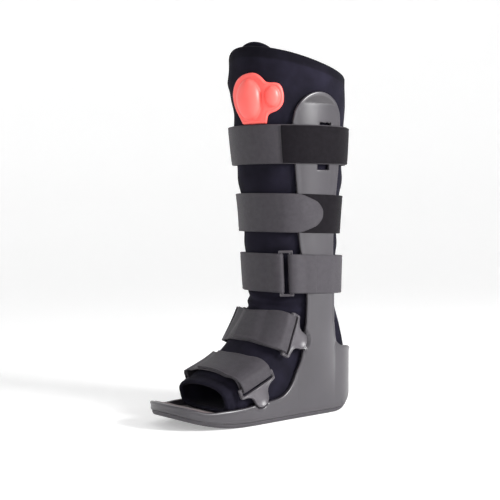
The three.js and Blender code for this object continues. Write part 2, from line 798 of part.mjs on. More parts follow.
function rectangle(halfX, lowY, highY) {
  return [[-halfX, lowY], [halfX, lowY], [halfX, highY], [-halfX, highY]]
    .map(([x, y]) => new THREE.Vector2(x, y));
}

function plateBody(shape, low, high, frame) {
  const body = new THREE.ExtrudeGeometry(shape, {
    depth: high - low, bevelEnabled: false, curveSegments: 5,
  });
  body.translate(0, 0, low);
  body.applyMatrix4(frame);
  return body;
}

// Surface under a foot strap: share runs from -1 at the far loop to 1 at the near loop
function footStrapSurface(strap, share, across, out) {
  const size = Math.abs(share);
  const edge = (side) => ({
    place: mix(side.middle, side.end, size ** 1.5),
    angle: side.angle * size,
  });
  const toe = edge(strap.toeEdge);
  const leg = edge(strap.legEdge);
  return footPoint(mix(toe.place, leg.place, across),
    Math.sign(share) * mix(toe.angle, leg.angle, across), out);
}

// Frame of a loop: x lies along the edge of its slot, which the strap's end reaches, y points at
// the pin on the shell, and z points away from the foot
function loopFrame(strap, side) {
  const low = footStrapSurface(strap, side, 0, barMiddle + strap.standOff);
  const high = footStrapSurface(strap, side, 1, barMiddle + strap.standOff);
  const middle = low.clone().add(high).multiplyScalar(0.5);
  const y = toeY + strap.tab.along * soleLength;
  const z = strap.tab.height * instepHeight;
  const wall = trayInside(y, z) + shellWall;
  const tab = new THREE.Vector3(side * (wall - gap), y, z);
  const u = low.clone().sub(high).normalize().multiplyScalar(side);
  const v = tab.clone().sub(middle);
  v.addScaledVector(u, -v.dot(u)).normalize();
  const n = new THREE.Vector3().crossVectors(u, v);
  return new THREE.Matrix4().makeBasis(u, v, n).setPosition(middle);
}

// Half-length of a foot strap, from the middle of the instep to the slot of a loop
function footStrapReach(strap) {
  let length = 0;
  const steps = 16;
  for (let i = 0; i < steps; i += 1) {
    length += footStrapSurface(strap, i / steps, 0.5, strapGap)
      .distanceTo(footStrapSurface(strap, (i + 1) / steps, 0.5, strapGap));
  }
  return length;
}

// Place on a foot strap, with at in millimetres from the middle of the instep. Near a loop the
// strap leaves the liner and lies flat along the loop's own plane.
function onFoot(strap) {
  const reach = footStrapReach(strap);
  const frames = { '-1': loopFrame(strap, -1), 1: loopFrame(strap, 1) };
  return (at, across, out) => {
    const side = at < 0 ? -1 : 1;
    const size = Math.abs(at) / reach;
    const surface = footStrapSurface(strap, side * Math.min(size, 1), across, out);
    const flat = new THREE.Vector3(side * (0.5 - across) * footStrapWidth,
      Math.abs(at) - reach, out - barMiddle).applyMatrix4(frames[side]);
    return surface.lerp(flat, ease((size - 0.4) / 0.5));
  };
}

// Foot strap: across the instep, folded round both loop bars, with the free end laid back
function footStrapBody(strap) {
  const reach = footStrapReach(strap);
  const bar = reach - loopBar;
  const laid = reach - 22;
  const path = [
    ...run(-laid + 8, -laid, laidLayer, laidLayer, 1),
    ...run(-laid, -bar, laidLayer, overLayer, 3).slice(1),
    ...fold(-reach, -1, 1).reverse(),
    ...run(-bar, bar, underLayer, underLayer, 18),
    ...fold(reach, 1, 1),
    ...run(bar, laid, overLayer, laidLayer, 3),
    ...run(laid, strap.freeEnd * reach, laidLayer, laidLayer, 7).slice(1),
  ];
  return ribbonBody(path, strapThick, 3, onFoot(strap));
}

// A loop, its pin, and what they need cut out of the shell
function loopSet(strap, side) {
  const frame = loopFrame(strap, side);
  const pinHeight = loopTabReach;
  const pin = (radius, low, high) => {
    const cylinder = new THREE.CylinderGeometry(radius, radius, high - low, 12);
    cylinder.rotateX(Math.PI / 2);
    cylinder.translate(0, pinHeight, (low + high) / 2);
    cylinder.applyMatrix4(frame);
    return cylinder;
  };
  const slotted = loopShape(0);
  slotted.holes.push(new THREE.Path(rectangle(loopLength / 2 - ringBar, 0, loopSlot)));
  const half = loopThick / 2;
  const plate = plateBody(slotted, -half, half, frame);
  const pinTop = half - pinCover;
  return {
    loop: cut(plate, [pin(pinRadius + gap, -loopThick, pinTop)]),
    pin: pin(pinRadius, -half - pinDepth, pinTop - gap),
    cuts: [
      plateBody(loopShape(tabGap), -half - gap, half + cutReach, frame),
      pin(pinRadius + gap, -half - cutReach, 0),
    ],
  };
}

// Flat ring of the lower leg strap, tangent to the leg, with its window along z
function ringBody() {
  const strap = legStraps.lower;
  const low = legStrapPoint(strap, ringAngle, 0, barMiddle, strapWidth);
  const high = legStrapPoint(strap, ringAngle, 1, barMiddle, strapWidth);
  const before = legStrapPoint(strap, ringAngle - barOffset, 0.5, barMiddle, strapWidth);
  const after = legStrapPoint(strap, ringAngle + barOffset, 0.5, barMiddle, strapWidth);
  const up = high.clone().sub(low).normalize();
  const across = after.clone().sub(before);
  across.addScaledVector(up, -across.dot(up)).normalize();
  const n = new THREE.Vector3().crossVectors(across, up);
  const frame = new THREE.Matrix4().makeBasis(across, up, n)
    .setPosition(before.add(after).multiplyScalar(0.5));
  const shape = new THREE.Shape(rectangle(ringWidth / 2, -ringLength / 2, ringLength / 2));
  const inside = ringLength / 2 - ringBar;
  shape.holes.push(new THREE.Path(rectangle(ringWidth / 2 - ringBar, -inside, inside)));
  return plateBody(shape, -loopThick / 2, loopThick / 2, frame);
}

// Air pump: a flange on the liner above the top strap, with two domes
function pumpBody() {
  const spokes = 26;
  const rings = [0.25, 0.5, 0.7, 0.86, 1];
  const middle = legStraps.top.height * linerHeight + strapWidth / 2 + pumpRise;
  const floor = pumpRise - strapGap;
  const unit = radians(1) * calfDepth / 2;
  const place = (across, up, rise) => legPoint(pumpAngle + across / unit, middle + up, rise);
  const rise = (across, up) => {
    let height = pumpFlange;
    for (const dome of pumpDomes) {
      const q = ((across / pumpWidth - dome.across) / dome.halfWide) ** 2
        + ((up / pumpWidth - dome.up) / dome.halfHigh) ** 2;
      if (q < 1) height = Math.max(height, pumpFlange + dome.rise * Math.sqrt(1 - q) ** 0.9);
    }
    return height;
  };
  const points = [];
  const faces = [];
  const add = (point) => points.push(point) - 1;
  const skins = [true, false].map((top) => {
    const height = (across, up) => (top ? rise(across, up) : gap);
    const centre = add(place(0, 0, height(0, 0)));
    const grid = rings.map((share) => [...Array(spokes).keys()].map((i) => {
      const angle = -150 + 360 * i / spokes;
      let reach = lookup(pumpOutline, 'angle', 'reach', angle) * pumpWidth;
      const down = -Math.sin(radians(angle));
      if (down > 0.01) reach = Math.min(reach, floor / down);
      const across = share * reach * Math.cos(radians(angle));
      const up = share * reach * Math.sin(radians(angle));
      return add(place(across, up, share === 1 && top ? pumpFlange * 0.6 : height(across, up)));
    }));
    return { centre, grid };
  });
  skins.forEach(({ centre, grid }, under) => {
    const face = (a, b, c) => faces.push(under ? [a, c, b] : [a, b, c]);
    for (let i = 0; i < spokes; i += 1) {
      const next = (i + 1) % spokes;
      face(centre, grid[0][i], grid[0][next]);
      for (let r = 0; r + 1 < rings.length; r += 1) {
        face(grid[r][i], grid[r + 1][i], grid[r + 1][next]);
        face(grid[r][i], grid[r + 1][next], grid[r][next]);
      }
    }
  });
  const [top, under] = skins.map((skin) => skin.grid[rings.length - 1]);
  for (let i = 0; i < spokes; i += 1) {
    const next = (i + 1) % spokes;
    faces.push([top[i], under[i], under[next]], [top[i], under[next], top[next]]);
  }
  return bodyFrom(points, faces);
}

const plastic = (color) => new THREE.MeshStandardMaterial({ color, roughness: 0.5, metalness: 0 });
const cloth = (color) => new THREE.MeshStandardMaterial({ color, roughness: 0.95, metalness: 0 });
const shellPlastic = plastic(0x5d5960);
const loopPlastic = plastic(0x787379);
const soleRubber = plastic(0x4a464c);
const pumpRubber = plastic(0xff625c);
const footbedFoam = cloth(0x5e5355);
const linerCloth = cloth(0x1b1a23);
const strapCloth = cloth(0x474349);
const pileCloth = cloth(0x231f24);

const boot = new THREE.Group();
function piece(name, geometry, material) {
  const mesh = new THREE.Mesh(geometry, material);
  mesh.name = name;
  boot.add(mesh);
}

const loops = [
  { suffix: 'upper', strap: footStraps.upper, side: 1 },
  { suffix: 'lower', strap: footStraps.lower, side: 1 },
  { suffix: 'upper_far', strap: footStraps.upper, side: -1 },
  { suffix: 'lower_far', strap: footStraps.lower, side: -1 },
].map((entry) => ({ ...entry, ...loopSet(entry.strap, entry.side) }));

piece('shell', cut(shellBody(), loops.flatMap((entry) => entry.cuts)), shellPlastic);
piece('outsole', soleSlab([
  { inset: outsoleInset + outsoleBevel, height: rocker },
  { inset: outsoleInset, height: (y) => rocker(y) + outsoleThick / 2 },
  { inset: outsoleInset, height: (y) => trayUnder(y) - gap },
]), soleRubber);
piece('footbed', soleSlab([
  { inset: shellWall + gap, height: (y) => trayFloor(y) + gap },
  { inset: shellWall + gap, height: footbedTop },
]), footbedFoam);
piece('liner', wallBody(linerRings(0), linerRings(linerWall), true), linerCloth);
piece('tongue', tongueBody(), linerCloth);
piece('air_pump', pumpBody(), pumpRubber);
piece('leg_strap_top', topStrapBody(), strapCloth);
piece('pile_top', topPileBody(), pileCloth);
piece('leg_strap_middle', middleStrapBody(), strapCloth);
piece('pile_middle', middlePileBody(), pileCloth);
piece('leg_strap_lower_front', lowerFrontBody(), strapCloth);
piece('leg_strap_lower_side', lowerSideBody(), strapCloth);
piece('strap_ring', ringBody(), loopPlastic);
piece('foot_strap_upper', footStrapBody(footStraps.upper), strapCloth);
piece('foot_strap_lower', footStrapBody(footStraps.lower), strapCloth);
for (const entry of loops) {
  piece(`loop_${entry.suffix}`, entry.loop, loopPlastic);
  piece(`loop_pin_${entry.suffix}`, entry.pin, loopPlastic);
}

// The origin is the middle of the boot's box, on the floor
const box = new THREE.Box3().setFromObject(boot);
const centre = box.getCenter(new THREE.Vector3());
boot.position.set(-centre.x, -centre.y, -box.min.z);

export default boot;
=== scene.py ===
"""Medical walking boot: a moulded shell on a rocker sole, a padded liner with an air pump, and
straps held by plastic loops. Lengths inside the sections are millimetres from the leg's axis."""

import math

import bpy
import numpy as np
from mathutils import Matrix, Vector


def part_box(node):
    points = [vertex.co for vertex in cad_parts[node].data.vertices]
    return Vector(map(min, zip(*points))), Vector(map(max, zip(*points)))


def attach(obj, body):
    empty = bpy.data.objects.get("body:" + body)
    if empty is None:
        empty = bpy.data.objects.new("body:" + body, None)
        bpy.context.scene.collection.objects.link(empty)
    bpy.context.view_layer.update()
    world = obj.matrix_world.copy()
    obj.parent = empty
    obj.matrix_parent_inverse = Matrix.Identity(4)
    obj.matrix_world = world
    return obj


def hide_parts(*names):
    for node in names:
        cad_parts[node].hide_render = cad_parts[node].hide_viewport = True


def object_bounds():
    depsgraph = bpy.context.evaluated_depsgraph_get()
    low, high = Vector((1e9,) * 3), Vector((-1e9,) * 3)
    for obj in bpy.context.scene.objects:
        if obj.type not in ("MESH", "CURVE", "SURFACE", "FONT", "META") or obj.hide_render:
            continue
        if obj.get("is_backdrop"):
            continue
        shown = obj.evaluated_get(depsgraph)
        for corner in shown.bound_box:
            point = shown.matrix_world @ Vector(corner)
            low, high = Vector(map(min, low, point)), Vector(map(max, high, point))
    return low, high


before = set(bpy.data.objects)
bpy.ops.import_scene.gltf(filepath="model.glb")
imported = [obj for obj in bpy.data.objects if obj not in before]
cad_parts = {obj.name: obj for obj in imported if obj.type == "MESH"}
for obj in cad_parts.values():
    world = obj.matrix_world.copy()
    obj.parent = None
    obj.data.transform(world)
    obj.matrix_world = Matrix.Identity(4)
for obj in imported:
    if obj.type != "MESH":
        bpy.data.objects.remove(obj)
cad_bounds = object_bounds()


# Studio
# A white paper bowl: a round floor that curves up all round the boot. One strong soft lamp stands
# beside the boot, a weak one before its toes and one overhead, in a weak white surround.
scene = bpy.context.scene
floor_sides = 72
# columns: radius, height in metres
floor_profile = [(1.2, 0.0), (2.4, 0.0), (2.9, 0.06), (3.3, 0.25), (3.6, 0.6), (3.75, 1.2), (3.8, 2.2),
                 (3.8, 4.0)]
floor_turns = np.radians(np.linspace(0, 360, floor_sides, endpoint=False))
floor_corners = [(r * math.cos(a), r * math.sin(a), z) for r, z in floor_profile for a in floor_turns]
floor_ids = np.arange(len(floor_corners)).reshape(-1, floor_sides)
floor_next = np.roll(floor_ids, -1, axis=1)
floor_quads = np.stack([floor_ids[:-1], floor_ids[1:], floor_next[1:], floor_next[:-1]], axis=-1)
floor_faces = floor_quads.reshape(-1, 4).tolist() + [floor_ids[0].tolist()]
floor_mesh = bpy.data.meshes.new("floor")
floor_mesh.from_pydata(floor_corners, [], floor_faces)
floor_mesh.polygons.foreach_set("use_smooth", [True] * len(floor_faces))
floor = bpy.data.objects.new("floor", floor_mesh)
scene.collection.objects.link(floor)
floor_paper = bpy.data.materials.new("floor paper")
floor_paper.use_nodes = True
floor_shader = floor_paper.node_tree.nodes["Principled BSDF"]
floor_shader.inputs["Base Color"].default_value = (0.85, 0.85, 0.85, 1)
floor_shader.inputs["Roughness"].default_value = 0.9
floor_shader.inputs["Emission Color"].default_value = (1, 1, 1, 1)
floor_shader.inputs["Emission Strength"].default_value = 0.33
floor_mesh.materials.append(floor_paper)
floor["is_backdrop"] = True


def add_lamp(name, azimuth, height, distance, size, power):
    """Square area lamp that looks at the middle of the boot from an azimuth round it."""
    lamp = bpy.data.lights.new(name, "AREA")
    lamp.size = size
    lamp.energy = power
    place = Vector((math.sin(math.radians(azimuth)) * distance,
                    -math.cos(math.radians(azimuth)) * distance, height))
    holder = bpy.data.objects.new(name, lamp)
    holder.location = place
    holder.rotation_euler = (Vector((0, 0, 0.2)) - place).to_track_quat("-Z", "Y").to_euler()
    scene.collection.objects.link(holder)


add_lamp("key lamp", 112, 0.8, 1.5, 0.5, 34)
add_lamp("fill lamp", 8, 0.9, 2.2, 1.2, 0.5)
add_lamp("top lamp", 52, 2.2, 0.5, 1.2, 9)
surround = bpy.data.worlds.new("surround")
surround.use_nodes = True
surround.node_tree.nodes["Background"].inputs["Color"].default_value = (1, 1, 1, 1)
surround.node_tree.nodes["Background"].inputs["Strength"].default_value = 0.1
scene.world = surround
scene.view_settings.view_transform = "Standard"

# Camera
# Fitted to the photo: 52 degrees round from the toe, 1.39 m away and 250 mm above the floor.
camera_lens = bpy.data.cameras.new("camera")
camera_lens.sensor_width = 36
camera_lens.lens = 86.4
camera = bpy.data.objects.new("camera", camera_lens)
camera.location = (1.0909, -0.863, 0.250)
camera.rotation_euler = (math.radians(90 - 2.315), 0, math.radians(52))
scene.collection.objects.link(camera)
scene.camera = camera


# Liner
# The padded bootie: foam between black brushed cloth, open at the toes and at the top, with a
# rolled edge at both openings. It swells a little between the straps that hold it.
sole_length = 268.0
ball_width = 104.0
heel_reach = 88.0
toe_y = heel_reach - sole_length
toe_spring, toe_reach = 15, 80
heel_roll, heel_length = 20, 44
liner_height = 406.0
liner_thick = 6.0
calf_width, calf_depth = 120.0, 142.0
leg_square, instep_square = 2.15, 2.4
top_slope, slope_start = 0.25, 345
ankle_height = 110.0
ankle_back, ankle_half_depth = 5.54, 53.25
instep_height = 120.0
bed_top = 13.6
upright_height = 375.0
upright_gap = 0.8
wall_half = 2.1
hull_out = 5.0
tray_base = 5
# where along the sole the tray's wall starts and stops leaning out to the leg
lean_start, lean_length = 112.56, 56.08
lean_end, lean_fade = 77.28, 43.2
shell_box = np.array(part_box("shell"))
leg_axis = np.array([shell_box[:, 0].mean(), shell_box[1, 1] - heel_reach * 0.001, 0.0])
# columns: height, half width, half depth, set back of the middle
leg_table = np.array([
    [0.250, 0.767, 0.720, 0.046], [0.330, 0.767, 0.727, 0.046], [0.420, 0.783, 0.750, 0.039],
    [0.500, 0.800, 0.780, 0.035], [0.590, 0.850, 0.800, 0.035], [0.680, 0.883, 0.870, 0.028],
    [0.775, 0.917, 0.930, 0.018], [0.880, 0.950, 0.975, 0.007], [1.000, 1.000, 1.000, -0.007],
]) * [liner_height, calf_width / 2, calf_depth / 2, calf_depth]
# columns: place, front, top, back, lift, half width, squareness
foot_table = np.array([
    [0, 0.401, 0.467, 0.264, 0.000, 0.435, 4.0], [1, 0.515, 0.508, 0.322, 0.000, 0.440, 4.0],
    [2, 0.664, 0.592, 0.431, 0.000, 0.440, 4.0], [3, 0.802, 0.733, 0.557, 0.000, 0.430, 3.4],
    [4, 0.891, 0.875, 0.733, 0.000, 0.420, 2.8], [5, 0.960, 1.000, 0.912, 0.010, 0.410, 2.3],
    [6, 1.005, 1.117, 1.072, 0.130, 0.420, 2.2], [7, 1.021, 1.225, 1.066, 0.420, 0.430, 2.2],
    [8, 1.019, 1.325, 0.993, 0.950, 0.440, 2.2],
])
upright_width = np.array([
    [0.00, -0.080, 0.240], [0.13, -0.080, 0.225], [0.36, -0.155, 0.190], [0.56, -0.190, 0.195],
    [0.68, -0.218, 0.215], [0.86, -0.253, 0.219], [1.00, -0.253, 0.219],
]) * [upright_height - ankle_height, calf_depth, calf_depth] + [ankle_height, 0, 0]
# height of each leg strap's middle, and how far it falls for each millimetre of depth
strap_levels = {"top": (314.65, 0.0), "middle": (235.9, 0.03), "lower": (166.5, 0.045)}


def table_curve(table, place):
    """Cubic through the table's rows. At a row the curve takes the slope of the line between the
    rows on either side, and beyond the ends it keeps the end value."""
    keys = table[:, 0]
    values = table[:, 1:]
    slope = np.gradient(values, keys, axis=0)
    slope[1:-1] = (values[2:] - values[:-2]) / (keys[2:] - keys[:-2])[:, None]
    place = np.asarray(place, float)
    i = np.clip(np.searchsorted(keys, place, side="right") - 1, 0, len(keys) - 2)
    width = keys[i + 1] - keys[i]
    t = np.clip((place - keys[i]) / width, 0, 1)[..., None]
    width = width[..., None]
    curve = (values[i] * (2 * t**3 - 3 * t**2 + 1) + values[i + 1] * (3 * t**2 - 2 * t**3)
             + slope[i] * width * (t**3 - 2 * t**2 + t) + slope[i + 1] * width * (t**3 - t**2))
    return np.moveaxis(curve, -1, 0)


def swell(value, exponent):
    """Power that keeps its sign, for squared ellipses."""
    return np.sign(value) * np.abs(value) ** exponent


def ease(t):
    """Smooth step from 0 to 1: three t squared less two t cubed."""
    t = np.clip(t, 0, 1)
    return t * t * (3 - 2 * t)


def unit_vector(vectors):
    """Vectors made one long."""
    return vectors / np.maximum(np.linalg.norm(vectors, axis=-1, keepdims=True), 1e-9)


def hump(value, middle, reach):
    """Bell of height 1 at middle that falls to 1/e at reach."""
    return np.exp(-((value - middle) / reach) ** 2)


def leg_surface(angle, z, out, side_out=None):
    """Squared ellipse at height z, grown by out in depth and by side_out in width. Angle 0 is the
    front and 90 degrees the near side."""
    side_out = out if side_out is None else side_out
    angle, z, out, side_out = np.broadcast_arrays(np.radians(angle), z, out, side_out)
    wide, deep, back = table_curve(leg_table, z)
    x = (wide + side_out) * swell(np.sin(angle), 2 / leg_square)
    y = back - (deep + out) * swell(np.cos(angle), 2 / leg_square)
    return np.stack([x, y, z + 0.0 * x], axis=-1)


def leg_side(y, z, out, side_out):
    """Half width of the leg surface at a given depth and height."""
    wide, deep, back = table_curve(leg_table, z)
    share = np.minimum(1, np.abs(y - back) / (deep + out))
    return (wide + side_out) * (1 - share**leg_square) ** (1 / leg_square)


def sole_rise(y):
    """Underside of the boot: flat, a square law up over the last 80 mm at the toe and over the
    last 44 mm at the heel."""
    toe = np.maximum(0, (toe_y + toe_reach - y) / toe_reach)
    heel = np.maximum(0, (y - heel_reach + heel_length) / heel_length)
    return toe_spring * toe**2 + heel_roll * heel**2


def foot_surface(place, angle, out):
    """Foot section: a squared ellipse between the instep and the footbed, leaning as the table's
    front and back rows say, grown by out. Angle 0 is the instep."""
    place, angle, out = np.broadcast_arrays(np.asarray(place, float), np.radians(angle), out)
    front, top, back, lift, half, square = table_curve(foot_table, place)
    leg_front, leg_back = ankle_back - ankle_half_depth, ankle_back + ankle_half_depth
    front_y = toe_y + (leg_front - toe_y) * front
    back_y = toe_y + (leg_back - toe_y) * back
    front_z = top * instep_height
    back_z = sole_rise(back_y) + bed_top + lift * instep_height
    across = np.stack([0 * front_y, front_y - back_y, front_z - back_z], axis=-1)
    length = np.linalg.norm(across, axis=-1, keepdims=True)
    middle = np.stack([0 * front_y, (front_y + back_y) / 2, (front_z + back_z) / 2], axis=-1)
    c = np.cos(angle)
    square = np.where(c > 0, instep_square, square)
    reach = (length[..., 0] / 2 + out) * swell(c, 2 / square)
    point = middle + across / length * reach[..., None]
    point[..., 0] = (half * ball_width + out) * swell(np.sin(angle), 2 / square)
    return point


# columns: share along the sole from the toe, half width
sole_plan = np.array([
    [0.000, 0.000], [0.004, 0.130], [0.015, 0.240], [0.040, 0.345], [0.100, 0.430],
    [0.185, 0.485], [0.260, 0.500], [0.340, 0.495], [0.490, 0.455], [0.600, 0.425],
    [0.710, 0.400], [0.820, 0.370], [0.900, 0.325], [0.955, 0.240], [0.987, 0.140],
    [1.000, 0.000],
]) * [sole_length, ball_width] + [toe_y, 0]


def sole_outline(count):
    """Near half of the sole's outline from toe to heel: a centripetal curve through the plan's
    rows, cut into stretches of equal length. Gives places and outward normals."""
    half = sole_plan[:, ::-1]
    ring = np.concatenate([half, half[-2:0:-1] * [-1, 1]])
    before, start, end, after = [np.roll(ring, shift, axis=0) for shift in (1, 0, -1, -2)]
    knots = [np.zeros(len(ring))]
    for a, b in ((before, start), (start, end), (end, after)):
        knots.append(knots[-1] + np.linalg.norm(b - a, axis=1) ** 0.5)
    t = knots[1][:, None] + (knots[2] - knots[1])[:, None] * np.linspace(0, 1, 60, endpoint=False)

    def blend(a, b, i, j):
        share = ((t - knots[i][:, None]) / (knots[j] - knots[i])[:, None])[..., None]
        return a + (b - a) * share
    low = blend(before[:, None], start[:, None], 0, 1)
    middle = blend(start[:, None], end[:, None], 1, 2)
    high = blend(end[:, None], after[:, None], 2, 3)
    curve = blend(blend(low, middle, 0, 2), blend(middle, high, 1, 3), 1, 2).reshape(-1, 2)
    curve = curve[: 60 * (len(half) - 1) + 1]
    length = np.concatenate([[0], np.cumsum(np.linalg.norm(np.diff(curve, axis=0), axis=1))])
    even = np.linspace(0, length[-1], count)
    points = np.stack([np.interp(even, length, curve[:, k]) for k in range(2)], axis=1)
    along = unit_vector(np.gradient(points, axis=0))
    normals = np.stack([along[:, 1], -along[:, 0]], axis=1)
    points[0, 0] = points[-1, 0] = 0
    normals[0] = (0, -1)
    normals[-1] = (0, 1)
    return points, normals


tray_points, tray_normals = sole_outline(320)


def wall_place(points, normals, z, inward):
    """Tray wall over the sole's outline. Beside the ankle it leans out to the leg's width, by the
    product of smooth steps along the sole and up the wall."""
    x, y = points[..., 0], points[..., 1]
    lean = ease((y - toe_y - lean_start) / lean_length) * ease((lean_end - y) / lean_fade)
    climb = ease((z - tray_base) / (ankle_height - tray_base))
    side = np.abs(x)
    target = leg_side(y, ankle_height, 0, hull_out)
    wide = np.sign(x) * (side + (np.maximum(side, target) - side) * lean * climb)
    place = np.broadcast_arrays(wide - normals[..., 0] * inward, y - normals[..., 1] * inward, z)
    return np.stack(place, axis=-1)


def tray_inside(y, z):
    """Half width of the tray's inside at a depth and height, looked up on levels 3 mm apart."""
    levels = np.arange(0, ankle_height + 3, 3.0)
    rows = wall_place(tray_points[None], tray_normals[None], levels[:, None], 2 * wall_half)
    depths = np.linspace(toe_y, heel_reach, 269)
    table = np.array([np.interp(depths, row[:, 1], row[:, 0]) for row in rows])
    i = np.clip(z / 3, 0, len(levels) - 1.001)
    j = np.clip(y - toe_y, 0, 267.999)
    a, b = i.astype(int), j.astype(int)
    i, j = i - a, j - b
    return (table[a, b] * (1 - i) * (1 - j) + table[a + 1, b] * i * (1 - j)
            + table[a, b + 1] * (1 - i) * j + table[a + 1, b + 1] * i * j)


def in_frame(points):
    """Millimetres from the leg's axis to metres in the frame."""
    return np.asarray(points) * 0.001 + leg_axis


def strip_faces(rows, columns, close_rows, close_columns):
    """Corner numbers of the squares of a grid, which may run round in either direction."""
    i = np.arange(rows if close_rows else rows - 1)[:, None]
    j = np.arange(columns if close_columns else columns - 1)[None]
    corner = lambda a, b: (i + a) % rows * columns + (j + b) % columns
    return np.stack([corner(0, 0), corner(0, 1), corner(1, 1), corner(1, 0)], axis=-1).reshape(-1, 4)


def make_piece(name, points, faces, uv=None, material=None, nodes=()):
    """Mesh object from points in millimetres and faces, turned so that its signed volume is
    positive. Faces whose corners repeat become triangles. uv gives four corners for each face."""
    faces = np.asarray(faces)
    a, b, c, d = (points[faces[:, k]] for k in range(4))
    volume = np.einsum("ij,ij->", a, np.cross(b, c)) + np.einsum("ij,ij->", a, np.cross(c, d))
    if volume < 0:
        faces = faces[:, ::-1]
        uv = None if uv is None else uv[:, ::-1]
    same = faces == np.roll(faces, 1, axis=1)
    keep = ~same
    count = keep.sum(axis=1)
    good = count >= 3
    keep &= good[:, None]
    mesh = bpy.data.meshes.new(name)
    mesh.vertices.add(len(points))
    mesh.vertices.foreach_set("co", in_frame(points).ravel())
    loops = faces[keep]
    mesh.loops.add(len(loops))
    mesh.loops.foreach_set("vertex_index", loops.astype(np.int32))
    totals = count[good]
    starts = np.concatenate([[0], np.cumsum(totals)[:-1]])
    mesh.polygons.add(len(totals))
    mesh.polygons.foreach_set("loop_start", starts.astype(np.int32))
    mesh.polygons.foreach_set("loop_total", totals.astype(np.int32))
    mesh.polygons.foreach_set("use_smooth", np.ones(len(totals), bool))
    mesh.update(calc_edges=True)
    if uv is not None:
        layer = mesh.uv_layers.new(name="cloth")
        layer.data.foreach_set("uv", uv[keep].astype(np.float32).ravel())
    mesh.validate()
    if material is not None:
        mesh.materials.append(material)
    piece = bpy.data.objects.new(name, mesh)
    scene.collection.objects.link(piece)
    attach(piece, "root")
    if nodes:
        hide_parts(*nodes)
    return piece


def grid_uv(u, v, faces_rows, faces_columns):
    """Corners' uv of a grid from its row places u and column places v, each with one more value
    than there are faces that way."""
    u = np.broadcast_to(np.asarray(u, float)[:, None], (faces_rows + 1, faces_columns + 1))
    v = np.broadcast_to(np.asarray(v, float)[None], (faces_rows + 1, faces_columns + 1))
    both = np.stack([u, v], axis=-1)
    corners = [both[:-1, :-1], both[:-1, 1:], both[1:, 1:], both[1:, :-1]]
    return np.stack(corners, axis=2).reshape(-1, 4, 2)


def new_group(name, inputs, outputs):
    """Shader node group with number or vector inputs and outputs. Gives the group and its two
    end nodes."""
    group = bpy.data.node_groups.new(name, "ShaderNodeTree")
    for label, kind, value in inputs:
        socket = group.interface.new_socket(name=label, in_out="INPUT", socket_type=kind)
        if value is not None:
            socket.default_value = value
    for label, kind in outputs:
        group.interface.new_socket(name=label, in_out="OUTPUT", socket_type=kind)
    return group, group.nodes.new("NodeGroupInput"), group.nodes.new("NodeGroupOutput")


def add_math(tree, operation, first, second=None, third=None):
    """Math node on sockets or plain numbers, giving its value."""
    node = tree.nodes.new("ShaderNodeMath")
    node.operation = operation
    for socket, value in zip(node.inputs, (first, second, third)):
        if value is None:
            continue
        if isinstance(value, (int, float)):
            socket.default_value = value
        else:
            tree.links.new(value, socket)
    return node.outputs[0]


def add_noise(tree, vector, scale, detail=3.0, roughness=0.5):
    """Noise on a vector, giving its value."""
    node = tree.nodes.new("ShaderNodeTexNoise")
    node.inputs["Detail"].default_value = detail
    node.inputs["Roughness"].default_value = roughness
    tree.links.new(vector, node.inputs["Vector"])
    if isinstance(scale, (int, float)):
        node.inputs["Scale"].default_value = scale
    else:
        tree.links.new(scale, node.inputs["Scale"])
    return node.outputs["Fac"]


def new_finish(name, roughness, sheen=0.0, coat=0.0, specular=0.5):
    """Material with one Principled shader and its uniform values. Gives the material, its tree
    and the shader."""
    material = bpy.data.materials.new(name)
    material.use_nodes = True
    shader = material.node_tree.nodes["Principled BSDF"]
    shader.inputs["Roughness"].default_value = roughness
    shader.inputs["Sheen Weight"].default_value = sheen
    shader.inputs["Sheen Roughness"].default_value = 0.45
    shader.inputs["Coat Weight"].default_value = coat
    shader.inputs["Specular IOR Level"].default_value = specular
    return material, material.node_tree, shader


def set_colours(tree, shader, value, stops):
    """Colour ramp on a value, into Base Color. Stops are (place, (red, green, blue))."""
    ramp = tree.nodes.new("ShaderNodeValToRGB")
    while len(ramp.color_ramp.elements) < len(stops):
        ramp.color_ramp.elements.new(0.5)
    for element, (place, colour) in zip(ramp.color_ramp.elements, stops):
        element.position = place
        element.color = (*colour, 1)
    tree.links.new(value, ramp.inputs["Fac"])
    tree.links.new(ramp.outputs["Color"], shader.inputs["Base Color"])


def object_place(tree):
    """Object coordinates for a tree's textures."""
    return tree.nodes.new("ShaderNodeTexCoord").outputs["Object"]


def use_group(tree, group, place, label, value):
    """Runs a node group on a place, with its number set. Gives its outputs."""
    node = tree.nodes.new("ShaderNodeGroup")
    node.node_tree = group
    node.inputs[label].default_value = value
    tree.links.new(place, node.inputs["Vector"])
    return node.outputs


def set_bump(tree, shader, height, strength, distance):
    """Bump node from a height into the shader's Normal."""
    bump = tree.nodes.new("ShaderNodeBump")
    bump.inputs["Strength"].default_value = strength
    bump.inputs["Distance"].default_value = distance
    tree.links.new(height, bump.inputs["Height"])
    tree.links.new(bump.outputs["Normal"], shader.inputs["Normal"])


# Brushed cloth: short loops lying in rows, with patches where the nap is turned
nap_group, nap_in, nap_out = new_group(
    "brushed nap",
    [("Vector", "NodeSocketVector", None), ("Rows", "NodeSocketFloat", 900.0)],
    [("Height", "NodeSocketFloat"), ("Patches", "NodeSocketFloat")])
nap_fuzz = add_noise(nap_group, nap_in.outputs["Vector"], nap_in.outputs["Rows"], 4, 0.65)
nap_patches = add_noise(nap_group, nap_in.outputs["Vector"], 26, 3, 0.6)
nap_height = add_math(nap_group, "MULTIPLY_ADD", nap_patches, 0.35, nap_fuzz)
nap_group.links.new(nap_height, nap_out.inputs["Height"])
nap_group.links.new(nap_patches, nap_out.inputs["Patches"])

